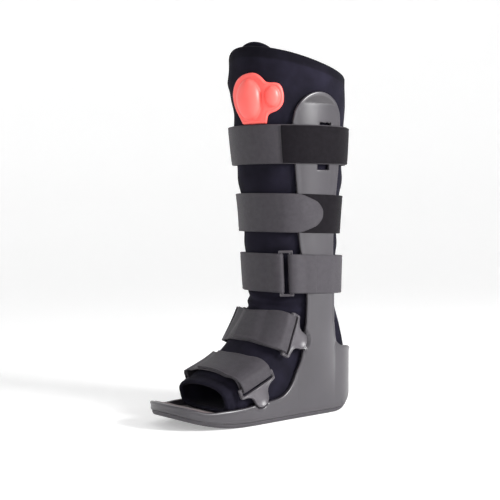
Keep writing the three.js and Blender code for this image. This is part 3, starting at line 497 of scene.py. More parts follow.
liner_cloth, liner_tree, liner_shader = new_finish("liner cloth", 0.85, sheen=0.02, specular=0.05)
liner_nap = use_group(liner_tree, nap_group, object_place(liner_tree), "Rows", 1100)
liner_edge = liner_tree.nodes.new("ShaderNodeAttribute")
liner_edge.attribute_name = "binding"
liner_tone = add_math(liner_tree, "MULTIPLY_ADD", liner_edge.outputs["Fac"], -0.25, liner_nap["Patches"])
set_colours(liner_tree, liner_shader, liner_tone, [
    (0.25, (0.006, 0.0055, 0.009)), (0.5, (0.0105, 0.0095, 0.0165)), (0.8, (0.0165, 0.015, 0.027))])
set_bump(liner_tree, liner_shader, liner_nap["Height"], 0.35, 0.0006)

liner_angles = np.linspace(0, 360, 225)[:-1]
liner_leg_rows = np.array([0.42, 0.47, 0.54, 0.61, 0.68, 0.75, 0.82, 0.88, 0.94, 1]) * liner_height


def slope_top(points):
    """Lowers the top edge by a quarter of the depth towards the heel."""
    climb = ease((points[..., 2] - slope_start) / (liner_height - slope_start))
    points[..., 2] -= top_slope * climb * points[..., 1]
    return points


def liner_skin(places, inward):
    """Smooth skin through the foot's and the leg's rings. The top edge falls by a quarter of the
    depth towards the heel, and below the ankle the skin is held inside the tray."""
    foot = foot_surface(np.arange(0, 8.01, 0.5)[:, None], liner_angles[None], -inward)
    leg = slope_top(leg_surface(liner_angles[None], liner_leg_rows[:, None], -inward))
    rings = np.concatenate([foot, leg])
    step = np.linalg.norm(np.diff(rings[:, ::16], axis=0), axis=-1).mean(axis=1)
    keys = np.concatenate([[0], np.cumsum(step)])
    table = np.concatenate([keys[:, None], rings.reshape(len(rings), -1)], axis=1)
    skin = table_curve(table, places * keys[-1]).T.reshape(len(places), len(liner_angles), 3)
    limit = tray_inside(skin[..., 1], np.minimum(skin[..., 2], ankle_height)) - 1 - inward
    low = skin[..., 2] <= ankle_height
    skin[..., 0] = np.where(low, np.clip(skin[..., 0], -limit, limit), skin[..., 0])
    return skin, keys[-1]


def grid_normals(grid):
    """Unit normals of a grid that runs round its columns: along its rows crossed with round."""
    along = np.gradient(grid, axis=0)
    around = np.roll(grid, -1, axis=1) - np.roll(grid, 1, axis=1)
    return unit_vector(np.cross(around, along))


liner_rows = np.linspace(0, 1, 210)
liner_outer, liner_length = liner_skin(liner_rows, 0.0)
liner_inner, _ = liner_skin(liner_rows, liner_thick)
liner_out = grid_normals(liner_outer)
liner_out *= np.sign((liner_out * (liner_outer - liner_inner)).sum(axis=-1, keepdims=True))
height = liner_outer[..., 2]
around = liner_angles[None]
liner_run = liner_rows[:, None] * liner_length
off_side = 1 - 0.9 * np.exp(-((np.abs(np.sin(np.radians(around))) - 1) / 0.16) ** 2)
above_foot = ease((height - 128) / 20)
# what the straps leave free swells, the toe edge is rolled twice, and the ankle has soft creases
liner_swell = off_side * above_foot * (1.5 * hump(height, 201, 10) + 2.0 * hump(height, 275, 13)
                                       + 1.2 * hump(height, 360, 20))
liner_swell += 0.8 * hump(liner_run, 3.5, 4) - 1.0 * hump(liner_run, 9.5, 1.6)
liner_swell += 0.9 * hump(liner_run, 14.5, 3.6)
front_side = np.clip(np.cos(np.radians(around)), 0, 1)
liner_swell += 1.3 * front_side * ease((height - 112) / 12) * ease((150 - height) / 12) * np.sin(
    height * 0.55 + 3 * np.sin(np.radians(around * 2)))
liner_swell += 0.35 * np.sin(height * 0.11 + np.sin(np.radians(around * 3))) * np.cos(
    np.radians(around * 5) + height * 0.03) * above_foot * off_side
liner_outer = liner_outer + liner_out * liner_swell[..., None]
# the toe edge is pressed down under its strap
toe_press, press_reach = 7.0, 36
toe_low = liner_outer[..., 2].min(axis=1, keepdims=True)
toe_high = liner_outer[..., 2].max(axis=1, keepdims=True)
for skin in (liner_outer, liner_inner):
    press = toe_press * np.clip((skin[..., 2] - toe_low) / (toe_high - toe_low), 0, 1)
    skin[..., 2] -= press * ease((press_reach - liner_run) / press_reach)
# at the front far corner the top edge droops and flares, and the strap pinches it below
corner = hump((around + 180) % 360 - 180, -44, 24)
corner_shift = corner * (3.0 * hump(height, 392, 13) - 4.5 * hump(height, 352, 13))
corner_shift = corner_shift * ease((height - 330) / 12)
for skin in (liner_outer, liner_inner):
    skin += liner_out * corner_shift[..., None]
    skin[..., 2] -= 8.0 * corner * ease((height - 372) / 34)


def rolled_wall(outer, inner, steps):
    """Closed wall from an outer and an inner skin: up the outer skin, over a half round at its
    end, down the inner skin, and round again at its start."""
    turns = np.linspace(0, np.pi, steps + 2)[1:-1][:, None, None]

    def roll(edge, beside, lead, sign):
        middle = (edge + beside) / 2
        half = (edge - beside) / 2
        radius = np.linalg.norm(half, axis=-1, keepdims=True)
        ahead = unit_vector(lead)
        ahead = unit_vector(ahead - half * (ahead * half).sum(-1, keepdims=True) / radius**2)
        return middle + sign * half * np.cos(turns) + ahead * radius * np.sin(turns)
    top = roll(outer[-1], inner[-1], outer[-1] - outer[-3], 1)
    low = roll(outer[0], inner[0], outer[0] - outer[2], -1)
    return np.concatenate([outer, top, inner[::-1], low])


edge_steps = 7
liner_wall = rolled_wall(liner_outer, liner_inner, edge_steps)
liner_faces = strip_faces(len(liner_wall), len(liner_angles), True, True)
liner = make_piece("padded_liner", liner_wall.reshape(-1, 3), liner_faces, material=liner_cloth,
                   nodes=["liner"])
liner_band = np.zeros(liner_wall.shape[:2])
binding_width = 7
row_count = len(liner_rows)
liner_band[:row_count] = ((1 - liner_rows) * liner_length < binding_width)[:, None]
liner_band[row_count:row_count + edge_steps] = 1
binding = liner.data.attributes.new("binding", "FLOAT", "POINT")
binding.data.foreach_set("value", liner_band.ravel().astype(np.float32))


# Tongue
# The rounded flap of the same padded cloth that stands up inside the front of the liner.
tongue_share = np.linspace(-1, 1, 61)
tongue_rows = np.linspace(0, 1, 40)
tongue_low, tongue_rise, tongue_round = 340, 10, 17
tongue_out_by, tongue_in_by = 6.8, 10.8


def tongue_skin(inward):
    """Flap on the leg surface, 30 degrees either side of its middle, with a round head."""
    top = liner_height + tongue_rise - tongue_round * (1 - np.sqrt(1 - tongue_share**2 * 0.98))
    z = tongue_low + (top[None] - tongue_low) * tongue_rows[:, None]
    return slope_top(leg_surface(15 + 30 * tongue_share[None], z, -inward))


def padded_sheet(outer, inner, edge):
    """Closed pad between two skins: a ring round the rim of each, with a rounded edge between.
    The rim's points move half the thickness in, and the edge bulges out by a half round."""
    middle = (outer + inner) / 2
    half = (outer - inner) / 2
    rows, columns = outer.shape[:2]
    i = np.linspace(-1, 1, rows)[:, None]
    j = np.linspace(-1, 1, columns)[None]
    near_rim = np.maximum(np.abs(i), np.abs(j)) ** edge
    thin = np.sqrt(np.clip(1 - near_rim, 0, 1))[..., None]
    return middle + half * thin, middle - half * thin


def sheet_faces(rows, columns):
    """Corner numbers of two stacked grids whose rims are joined."""
    front = strip_faces(rows, columns, False, False)
    back = front[:, ::-1] + rows * columns
    i = np.arange(rows)
    j = np.arange(columns)
    rim = np.concatenate([j, (i[1:] * columns + columns - 1), (rows - 1) * columns + j[-2::-1],
                          i[-2:0:-1] * columns])
    after = np.roll(rim, -1)
    joint = np.stack([rim, rim + rows * columns, after + rows * columns, after], axis=1)
    return np.concatenate([front, back, joint])


tongue_sides = padded_sheet(tongue_skin(tongue_out_by), tongue_skin(tongue_in_by), 14)
tongue = make_piece("padded_tongue", np.concatenate(tongue_sides).reshape(-1, 3),
                    sheet_faces(len(tongue_rows), len(tongue_share)), material=liner_cloth,
                    nodes=["tongue"])


# Shell
# One moulding in grey plastic with a fine grain: the tray with its rim, the heel cup and the two
# uprights with their windows. A raised bead follows every edge, and each loop's tab lies in a
# pocket of the wall.
# columns: share along the sole, rise above the tray's underside
rim_table = np.array([
    [0.000, 0.080], [0.050, 0.090], [0.110, 0.090], [0.200, 0.130], [0.330, 0.165],
    [0.440, 0.190], [0.500, 0.220], [0.550, 0.310], [0.590, 0.470], [0.615, 0.640],
    [0.629, 0.955], [0.799, 0.955], [0.820, 0.800], [0.860, 0.690], [0.930, 0.600],
    [1.000, 0.440],
]) * [sole_length, ankle_height] + [toe_y, 0]
foot_front, foot_rear = -0.080 * calf_depth, 0.240 * calf_depth
crown_radius, crown_rise = 34.0, 341.0


def rim_rise(y):
    """Height of the tray's rim: a smooth curve through the rim's rows, over the sole's underside."""
    return sole_rise(y) + tray_base + table_curve(rim_table, y)[0]


# where the foot straps lie: section of the liner at the middle and at the loop, angle at the loop
foot_straps = {
    "upper": {"toe": (3.1, 3.75, 76), "leg": (5.1, 6.4, 57), "tab": (-15.98, 85.8), "off": 3.0,
              "end": -0.12},
    "lower": {"toe": (0.6, 0.8, 88), "leg": (2.2, 3.0, 82), "tab": (-82.18, 21.6), "off": 1.0,
              "end": -0.2},
}
bar_middle = 5.0


def foot_strap_surface(strap, share, across, out):
    """Liner under a foot strap: share runs from -1 at the far loop to 1 at the near one. The toe
    edge and the leg edge each slide along the foot by the share to the power 1.5."""
    size = np.abs(share)
    toe, leg = strap["toe"], strap["leg"]
    toe_place = toe[0] + (toe[1] - toe[0]) * size**1.5
    leg_place = leg[0] + (leg[1] - leg[0]) * size**1.5
    angle = np.sign(share) * size * (toe[2] + (leg[2] - toe[2]) * across)
    return foot_surface(toe_place + (leg_place - toe_place) * across, angle, out)


def loop_frame(strap, side):
    """Origin and axes of a loop: along its slot, towards its tab, and away from the foot."""
    low = foot_strap_surface(strap, float(side), 0.0, bar_middle + strap["off"])
    high = foot_strap_surface(strap, float(side), 1.0, bar_middle + strap["off"])
    y, z = strap["tab"]
    tab = np.array([side * (tray_inside(np.array(y), np.array(z)) + 3.9), y, z])
    middle = (low + high) / 2
    u = unit_vector(low - high) * side
    v = tab - middle
    v = unit_vector(v - u * (v @ u))
    return middle, np.array([u, v, np.cross(u, v)])


loop_places = {(name, side): loop_frame(strap, side)
               for name, strap in foot_straps.items() for side in (1, -1)}


def tab_distance(u, v):
    """Distance outside a loop's body: a disc of 10 mm round its tab, and shoulders that narrow
    from the slot's length to the disc."""
    shoulder = 26 - 16 * np.clip((v - 8) / 12, 0, 1) ** 0.6
    body = np.maximum(np.abs(u) - shoulder, np.maximum(-4 - v, v - 20))
    return np.minimum(np.hypot(u, v - 20) - 10, body)


def drawn_in(row, shares):
    """Copies of a row of places with their x drawn in to each share, for the middle of a slab."""
    ones = np.ones_like(shares, float)
    return row[None] * np.stack([shares, ones, ones], axis=-1)[:, None]


fine_points, fine_normals = sole_outline(3000)
edge_round = 1.5
fine_y = fine_points[:, 1]
shift = np.where(fine_y < 10, -edge_round, edge_round)
fine_rim = rim_rise(fine_y + shift * ease((fine_y + 60) / 20) * ease((80 - fine_y) / 20)) - edge_round
on_upright = (fine_y > foot_front + edge_round) & (fine_y < foot_rear - edge_round)
fine_rim = np.minimum(fine_rim, ankle_height)
fine_rim[on_upright] = ankle_height
fine_step = np.hypot(np.linalg.norm(np.diff(fine_points, axis=0), axis=1), np.diff(fine_rim))
fine_run = np.concatenate([[0], np.cumsum(fine_step)])
column_run = np.linspace(0, fine_run[-1], 300)
for edge_y in (foot_front + edge_round, foot_rear - edge_round):
    edge_run = fine_run[np.argmax(fine_y > edge_y)]
    column_run[np.argmin(np.abs(column_run - edge_run))] = edge_run
pick = lambda values: np.interp(column_run, fine_run, values)
column_points = np.stack([pick(fine_points[:, 0]), pick(fine_points[:, 1])], axis=1)
column_normals = np.stack([pick(fine_normals[:, 0]), pick(fine_normals[:, 1])], axis=1)
column_normals = unit_vector(column_normals)
column_rim = pick(fine_rim)
column_count = len(column_points)
column_y = column_points[:, 1]
upright_first = int(np.argmax(column_y >= foot_front + edge_round - 0.01))
upright_last = int(column_count - 1 - np.argmax(column_y[::-1] <= foot_rear - edge_round + 0.01))

# one half of the tray from the middle of its floor, round the corner and up to the rim
floor_half = 1.5
corner_radius = 1.2
floor_z = sole_rise(column_y) + tray_base + floor_half
corner_turn = np.radians(np.linspace(0, 90, 6))
corner_in = wall_half + corner_radius * (1 - np.sin(corner_turn))
corner_up = corner_radius * (1 - np.cos(corner_turn))
wall_share = 1 - (1 - np.linspace(0, 1, 27)[1:]) ** 1.35
tray_in = np.concatenate([corner_in, np.full(26, wall_half)])
wall_foot = floor_z[:, None] + corner_radius
wall_climb = (column_rim - floor_z - corner_radius)[:, None] * wall_share
tray_z = np.concatenate([floor_z[:, None] + corner_up[None], wall_foot + wall_climb], axis=1)
tray = wall_place(column_points[:, None], column_normals[:, None], tray_z, tray_in[None])
tray[0, :, 0] = 0
tray[-1, :, 0] = 0
tray_floor = drawn_in(tray[:, 0], np.array([0, 0.35, 0.7, 0.92])).swapaxes(0, 1)
half_tray = np.concatenate([tray_floor, tray], axis=1)
tray_rows = half_tray.shape[1]

# one upright over its columns of the wall, in level rows up to its window
level_top = 285.0
window_low, window_high = 285.2, 341.2
window_front, window_rear = -5, 15
upright_columns = np.arange(upright_first, upright_last + 1)
upright_share = (column_y[upright_columns] - column_y[upright_first]) / (
    column_y[upright_last] - column_y[upright_first])
crown = crown_rise + (crown_radius - edge_round) * np.sqrt(1 - (2 * upright_share - 1) ** 2)
body_z = np.linspace(ankle_height, level_top, 90)[1:]
top_share = np.linspace(0, 1, 56)[1:]
upright_z = np.concatenate([np.broadcast_to(body_z[:, None], (len(body_z), len(crown))),
                            level_top + (crown - level_top)[None] * top_share[:, None]])
front, rear = table_curve(upright_width, np.minimum(upright_z, crown_rise))
front, rear = front + edge_round, rear - edge_round
upright_y = front + (rear - front) * upright_share[None]
lean_in = ease((upright_z - 318) / 62) ** 2 * 2.2
upright_x = leg_side(upright_y, upright_z, 0, upright_gap + wall_half)
upright_x = upright_x + 0.9 * ease((upright_z - ankle_height) / 40) - lean_in * 0.4
upright = np.stack([upright_x, upright_y, upright_z], axis=-1)
upright_rows = len(upright)

shell_points = []
shell_faces = []
for side in (1, -1):
    base = sum(len(part) for part in shell_points)
    turn = np.array([side, 1, 1])
    tray_ids = base + np.arange(column_count * tray_rows).reshape(column_count, tray_rows)
    upright_ids = base + tray_ids.size + np.arange(upright_rows * len(upright_columns)).reshape(
        upright_rows, len(upright_columns))
    shell_points += [half_tray.reshape(-1, 3) * turn, upright.reshape(-1, 3) * turn]
    tray_ids[0, :5] = tray_ids[0, 0]
    tray_ids[-1, :5] = tray_ids[-1, 0]
    if side < 0:
        tray_ids[0], tray_ids[-1], tray_ids[:, 0] = near_ids[0], near_ids[-1], near_ids[:, 0]
    else:
        near_ids = tray_ids
    stack = np.concatenate([tray_ids[upright_columns, -1][None], upright_ids])
    wall = np.stack([tray_ids[:-1, :-1], tray_ids[1:, :-1], tray_ids[1:, 1:], tray_ids[:-1, 1:]], -1)
    leg = np.stack([stack[:-1, :-1], stack[:-1, 1:], stack[1:, 1:], stack[1:, :-1]], -1)
    middle_y = (upright_y[1:, 1:] + upright_y[:-1, :-1]) / 2
    middle_z = (upright_z[1:, 1:] + upright_z[:-1, :-1]) / 2
    window = (middle_y > window_front) & (middle_y < window_rear)
    window &= (middle_z > window_low) & (middle_z < window_high)
    leg = np.concatenate([leg[:1].reshape(-1, 4), leg[1:][~window]])
    both = np.concatenate([wall.reshape(-1, 4), leg])
    shell_faces.append(both if side > 0 else both[:, ::-1])
shell_points = np.concatenate(shell_points)
shell_faces = np.concatenate(shell_faces)


def surface_normals(points, faces):
    """Unit normals at a mesh's points, from the sum of the cross products of the diagonals of
    their faces."""
    a, b, c, d = (points[faces[:, k]] for k in range(4))
    cross = np.cross(c - a, d - b)
    total = np.zeros_like(points)
    for k in range(4):
        np.add.at(total, faces[:, k], cross)
    return unit_vector(total)


def rim_edges(faces):
    """Directed edges that belong to one face only, as pairs of corner numbers."""
    a = faces.ravel()
    b = np.roll(faces, -1, axis=1).ravel()
    real = a != b
    a, b = a[real], b[real]
    size = int(faces.max()) + 1
    lone = ~np.isin(b * size + a, a * size + b)
    return a[lone], b[lone]


shell_normals = surface_normals(shell_points, shell_faces)
rim_a, rim_b = rim_edges(shell_faces)
if (shell_normals[tray_rows - 1 + 100 * tray_rows] @ [1, 0, 0]) < 0:
    shell_faces = shell_faces[:, ::-1]
    shell_normals = -shell_normals
    rim_a, rim_b = rim_b, rim_a
rim_after = np.zeros(len(shell_points), int)
rim_before = np.zeros(len(shell_points), int)
rim_after[rim_a] = rim_b
rim_before[rim_b] = rim_a
rim_line = shell_points[rim_after[rim_a]] - shell_points[rim_before[rim_a]]
rim_out = unit_vector(np.cross(rim_line, shell_normals[rim_a]))


def distance_to(points, marks):
    """Distance from each point to the nearest mark, worked out 4000 points at a time."""
    found = []
    square = (marks**2).sum(axis=1)
    for part in np.array_split(points, max(1, len(points) // 4000)):
        far = (part**2).sum(axis=1)[:, None] + square[None] - 2 * part @ marks.T
        found.append(np.sqrt(np.maximum(far.min(axis=1), 0)))
    return np.concatenate(found)


rim_distance = distance_to(shell_points, shell_points[rim_a])
bead = 0.75 * hump(rim_distance, 0.6, 1.5)
near_window = hump(shell_points[:, 2], 315, 28) * (np.abs(shell_points[:, 1] - 5) < 14)
bead *= 1 - np.minimum(1, 3 * near_window)
half = np.where(shell_points[:, 2] < 9, 1.5, wall_half)
crown_cap = np.clip((shell_points[:, 2] - 361) / 14, 0, 1)
mitre = 1 + 0.36 * hump(np.abs(shell_normals[:, 2] + 0.7), 0, 0.35) * (shell_points[:, 2] < 40)
shell_outer = shell_points + shell_normals * (half * mitre + bead - 1.6 * crown_cap)[:, None]
shell_inner = shell_points - shell_normals * half[:, None]
for middle, axes in loop_places.values():
    local = (shell_outer - middle) @ axes.T
    outside = tab_distance(local[:, 0], local[:, 1])
    near = (np.abs(local[:, 2]) < 12) & (outside < 9)
    pocket = near * (1 - ease((outside - 0.9) / 0.9))
    lip = near * 0.8 * hump(outside, 3.0, 1.1)
    drop = np.maximum(local[:, 2] + 2.3, 0) * pocket
    shell_outer = shell_outer - axes[2] * (drop - lip)[:, None]
    inside = ((shell_inner - middle) @ axes.T)[:, 2]
    shell_inner = shell_inner - axes[2] * (np.maximum(inside + 3.2, 0) * pocket)[:, None]
rim_turn = np.radians([20, 40, 60, 90, 120, 140, 160])[:, None, None]
rim_middle = (shell_outer[rim_a] + shell_inner[rim_a]) / 2
rim_half = (shell_outer[rim_a] - shell_inner[rim_a]) / 2
rim_rings = (rim_middle + rim_half * swell(np.cos(rim_turn), 0.75)
             + rim_out * edge_round * swell(np.sin(rim_turn), 0.75))
total = len(shell_points)
ring_of = np.zeros(total, int)
ring_of[rim_a] = np.arange(len(rim_a))


def rim_levels(ids):
    """Corner numbers of the rim's points on the outer skin, each ring of its edge, and inside."""
    starts = 2 * total + len(rim_a) * np.arange(len(rim_turn))
    return [ids] + [start + ring_of[ids] for start in starts] + [ids + total]


levels, ahead = rim_levels(rim_a), rim_levels(rim_b)
rim_faces = [np.stack([ahead[k], levels[k], levels[k + 1], ahead[k + 1]], axis=1)
             for k in range(len(levels) - 1)]

# Moulded plastic: a fine spark-eroded grain, slightly polished where hands and straps rub
grain_group, grain_in, grain_out = new_group(
    "moulded grain",
    [("Vector", "NodeSocketVector", None), ("Size", "NodeSocketFloat", 1500.0)],
    [("Height", "NodeSocketFloat"), ("Wear", "NodeSocketFloat")])
grain_fine = add_noise(grain_group, grain_in.outputs["Vector"], grain_in.outputs["Size"], 2, 0.6)
grain_wear = add_noise(grain_group, grain_in.outputs["Vector"], 18, 4, 0.55)
grain_group.links.new(grain_fine, grain_out.inputs["Height"])
grain_group.links.new(grain_wear, grain_out.inputs["Wear"])


def moulded_finish(name, dark, light, rough, size, bump, coat=0.0):
    """Grained plastic or rubber between two tones, with roughness a little lower where worn."""
    material, tree, shader = new_finish(name, rough, coat=coat)
    grain = use_group(tree, grain_group, object_place(tree), "Size", size)
    set_colours(tree, shader, grain["Wear"], [(0.3, dark), (0.7, light)])
    worn = add_math(tree, "MULTIPLY_ADD", grain["Wear"], -0.16, rough + 0.08)
    tree.links.new(worn, shader.inputs["Roughness"])
    set_bump(tree, shader, grain["Height"], bump, 0.0003)
    return material


shell_plastic = moulded_finish("shell plastic", (0.037, 0.0335, 0.0395), (0.047, 0.0425, 0.05),
                               0.31, 1700, 0.1)
shell_tree = shell_plastic.node_tree
shell_shader = shell_tree.nodes["Principled BSDF"]
shell_shader.inputs["Specular IOR Level"].default_value = 0.65
# the crown's sunk cap is rougher than the rest, and painted darker as shade for its inward tilt, which faces
# away from the lamps
cap_shade_and_rough_mask = shell_tree.nodes.new("ShaderNodeAttribute")
cap_shade_and_rough_mask.attribute_name = "crown_cap"
cap_shade_mix = shell_tree.nodes.new("ShaderNodeMix")
cap_shade_mix.data_type = "RGBA"
# the painted shade colour of the crown's cap
cap_shade_mix.inputs["B"].default_value = (0.026, 0.023, 0.027, 1)
cap_rough = add_math(shell_tree, "MULTIPLY_ADD", cap_shade_and_rough_mask.outputs["Fac"], 0.45,
                     shell_shader.inputs["Roughness"].links[0].from_socket)
shell_tree.links.new(cap_rough, shell_shader.inputs["Roughness"])
shell_tree.links.new(cap_shade_and_rough_mask.outputs["Fac"], cap_shade_mix.inputs["Factor"])
shell_tree.links.new(shell_shader.inputs["Base Color"].links[0].from_socket, cap_shade_mix.inputs["A"])
shell_tree.links.new(cap_shade_mix.outputs["Result"], shell_shader.inputs["Base Color"])
shell = make_piece("moulded_shell", np.concatenate([shell_outer, shell_inner, rim_rings.reshape(-1, 3)]),
                   np.concatenate([shell_faces, shell_faces[:, ::-1] + total, *rim_faces]),
                   material=shell_plastic, nodes=["shell"])
# mask of the crown cap's painted shade and roughness: full above 362 mm; on the outer skin it is left out
# within 2 mm of the edge and full beyond 2.6 mm, so the bead stays light
cap_shade_and_rough_value = ease((shell_points[:, 2] - 360.5) / 1.5)
cap_shade_and_rough_outer = cap_shade_and_rough_value * (1 - ease((2.6 - rim_distance) / 0.6))
cap_shade_and_rough_value = np.concatenate([cap_shade_and_rough_outer, cap_shade_and_rough_value, np.zeros(len(rim_turn) * len(rim_a))])
cap_shade_and_rough_layer = shell.data.attributes.new("crown_cap", "FLOAT", "POINT")
cap_shade_and_rough_layer.data.foreach_set("value", cap_shade_and_rough_value.astype(np.float32))


# Outsole
# The rubber rocker sole glued under the shell, with a rounded edge and cross grooves for grip.
def slab_grid(count, profile, shares, toe_lift=0.0):
    """Near half of a slab on the sole's outline: rows of its underside, of its rim and of its
    top. Each rim row lies at its inset and rise, and toe_lift raises the top at the toe."""
    columns, sides = sole_outline(count)
    rim = []
    for inset, rise in profile:
        x = np.maximum(columns[:, 0] - sides[:, 0] * inset, 0)
        y = columns[:, 1] - sides[:, 1] * inset
        lift = toe_lift * ease((-130 - y) / 10) * (rise > 10)
        rim.append(np.stack([x, y, sole_rise(y) + rise + lift], axis=1))
    rim = np.array(rim)
    rim[:, 0, 0] = rim[:, -1, 0] = 0
    return np.concatenate([drawn_in(rim[0], shares), rim, drawn_in(rim[-1], shares[::-1])])


# columns: inset, rise over the sole's underside
sole_profile = [(5.6, 0.0), (4.2, 0.0), (3.0, 0.5), (2.1, 1.6), (1.7, 2.9), (1.5, 4.0), (1.6, 4.7),
                (2.6, 4.7)]
under_share = np.array([0, 0.25, 0.5, 0.75, 0.9, 0.97])
groove_pitch, groove_depth = 12, 1.3
sole_grid = slab_grid(260, sole_profile, under_share)
sole_under = sole_grid[:len(under_share)]
groove = np.abs((sole_under[..., 1] + 400) % groove_pitch - groove_pitch / 2)
groove = ease((groove - 4.4) / 0.9)
sole_under[..., 2] += groove_depth * groove * (under_share < 0.95)[:, None]


def both_halves(grid):
    """Faces and points of a closed slab from its near half, a grid of profile rows by columns
    from toe to heel whose first and last rows lie on the middle line."""
    rows, columns = grid.shape[:2]
    near = np.arange(rows * columns).reshape(rows, columns)
    far = near + rows * columns
    far[:, 0], far[:, -1], far[0], far[-1] = near[:, 0], near[:, -1], near[0], near[-1]
    faces = []
    for ids, order in ((near, 1), (far, -1)):
        quads = np.stack([ids[:-1, :-1], ids[:-1, 1:], ids[1:, 1:], ids[1:, :-1]], -1).reshape(-1, 4)
        faces.append(quads[:, ::order])
    points = np.concatenate([grid.reshape(-1, 3), grid.reshape(-1, 3) * [-1, 1, 1]])
    return points, np.concatenate(faces)


sole_rubber = moulded_finish("sole rubber", (0.038, 0.034, 0.04), (0.048, 0.043, 0.051), 0.6, 900, 0.35)
sole_points, sole_faces = both_halves(sole_grid)
make_piece("rubber_sole", sole_points, sole_faces, material=sole_rubber,
           nodes=["outsole"])


# Footbed
# The brown-grey felt insole in the tray, pressed to a raised edge, with a line where the toe
# part of its cover is joined.
bed_profile = [(4.9, 8.4), (4.6, 10.2), (4.6, 12.2), (5.0, 13.0), (5.9, 13.3), (7.4, 13.3), (9.4, 12.9)]
bed_share = np.array([0, 0.3, 0.6, 0.85])
bed_points, bed_faces = both_halves(slab_grid(200, bed_profile, bed_share, toe_lift=2.6))
footbed_felt, felt_tree, felt_shader = new_finish("footbed felt", 0.9, sheen=0.15, specular=0.25)
felt_place = object_place(felt_tree)
felt_nap = use_group(felt_tree, nap_group, felt_place, "Rows", 800)
felt_split = felt_tree.nodes.new("ShaderNodeSeparateXYZ")
felt_tree.links.new(felt_place, felt_split.inputs["Vector"])
felt_slant = add_math(felt_tree, "MULTIPLY_ADD", felt_split.outputs["X"], 0.25, felt_split.outputs["Y"])
felt_step = add_math(felt_tree, "MULTIPLY_ADD", felt_slant, 260, 28.5)
felt_band = add_math(felt_tree, "MINIMUM", add_math(felt_tree, "MAXIMUM", felt_step, 0.0), 1.0)
felt_tone = add_math(felt_tree, "MULTIPLY_ADD", felt_band, -0.18, felt_nap["Patches"])
set_colours(felt_tree, felt_shader, felt_tone, [(0.2, (0.085, 0.067, 0.07)), (0.6, (0.17, 0.134, 0.138))])
set_bump(felt_tree, felt_shader, felt_nap["Height"], 0.4, 0.0006)
make_piece("felt_footbed", bed_points, bed_faces, material=footbed_felt,
           nodes=["footbed"])


# Straps
# Grey ribbed webbing 2.2 mm thick and black pile 1.6 mm thick, stitched along both edges. Each is
# a ribbon bent along its path, with round edges and ends. It is modelled directly, because a
# tight flat strap has nothing to settle.
strap_width, foot_strap_width = 44.5, 43.5
strap_thick, pile_thick = 2.2, 1.6
# distances out: against the liner, over a bar, laid on the strap itself, and on a pile strap
under_layer, over_layer, laid_layer, pile_layer = 1.8, 8.2, 4.3, 3.7
fold_radius = 3.2


def leg_strap_point(strap, angle, across, out, width):
    """Place on a leg strap: angle round the leg, share across, distance out from the hull of
    liner and uprights. Its height falls with depth by the strap's tilt."""
    middle, tilt = strap_levels[strap]
    z = middle - tilt * leg_surface(angle, middle, 0)[..., 1] + (across - 0.5) * width
    return leg_surface(angle, z, out, hull_out + out)


def foot_reach(strap):
    """Length from the middle of the instep to the slot of a loop."""
    line = foot_strap_surface(strap, np.linspace(0, 1, 17), 0.5, 0.7)
    return np.linalg.norm(np.diff(line, axis=0), axis=1).sum()


def foot_strap_point(name, at, across, out):
    """Place on a foot strap at millimetres from the middle of the instep. Near a loop the strap
    leaves the liner and lies flat in the loop's own plane."""
    strap = foot_straps[name]
    reach = foot_reach(strap)
    at, across, out = np.broadcast_arrays(np.asarray(at, float), across, out)
    size = np.abs(at) / reach
    side = np.where(at < 0, -1, 1)
    surface = foot_strap_surface(strap, side * np.minimum(size, 1), across, out)
    flat = np.zeros(surface.shape)
    for s in (1, -1):
        middle, axes = loop_places[(name, s)]
        local = np.stack([s * (0.5 - across) * foot_strap_width, np.abs(at) - reach, out - bar_middle], -1)
        flat = np.where((side == s)[..., None], middle + local @ axes, flat)
    return surface + (flat - surface) * ease((size - 0.4) / 0.5)[..., None]


def run(start, end, out_start, out_end, steps, width=1.0):
    """Steps of a path: place, distance out, share of the width."""
    t = np.linspace(0, 1, steps + 1)
    out = out_start + (out_end - out_start) * ease(t)
    return np.stack([start + (end - start) * t, out, t * 0 + width], 1)


def fold(at, direction, unit):
    """Half turn of a strap round a bar, from the under to the over layer, close to the bar."""
    turn = np.radians(np.linspace(-80, 80, 13))
    place = at + direction * (fold_radius * np.cos(turn) - fold_radius / 2) / unit
    return np.stack([place, bar_middle + fold_radius * np.sin(turn), turn * 0 + 1], 1)


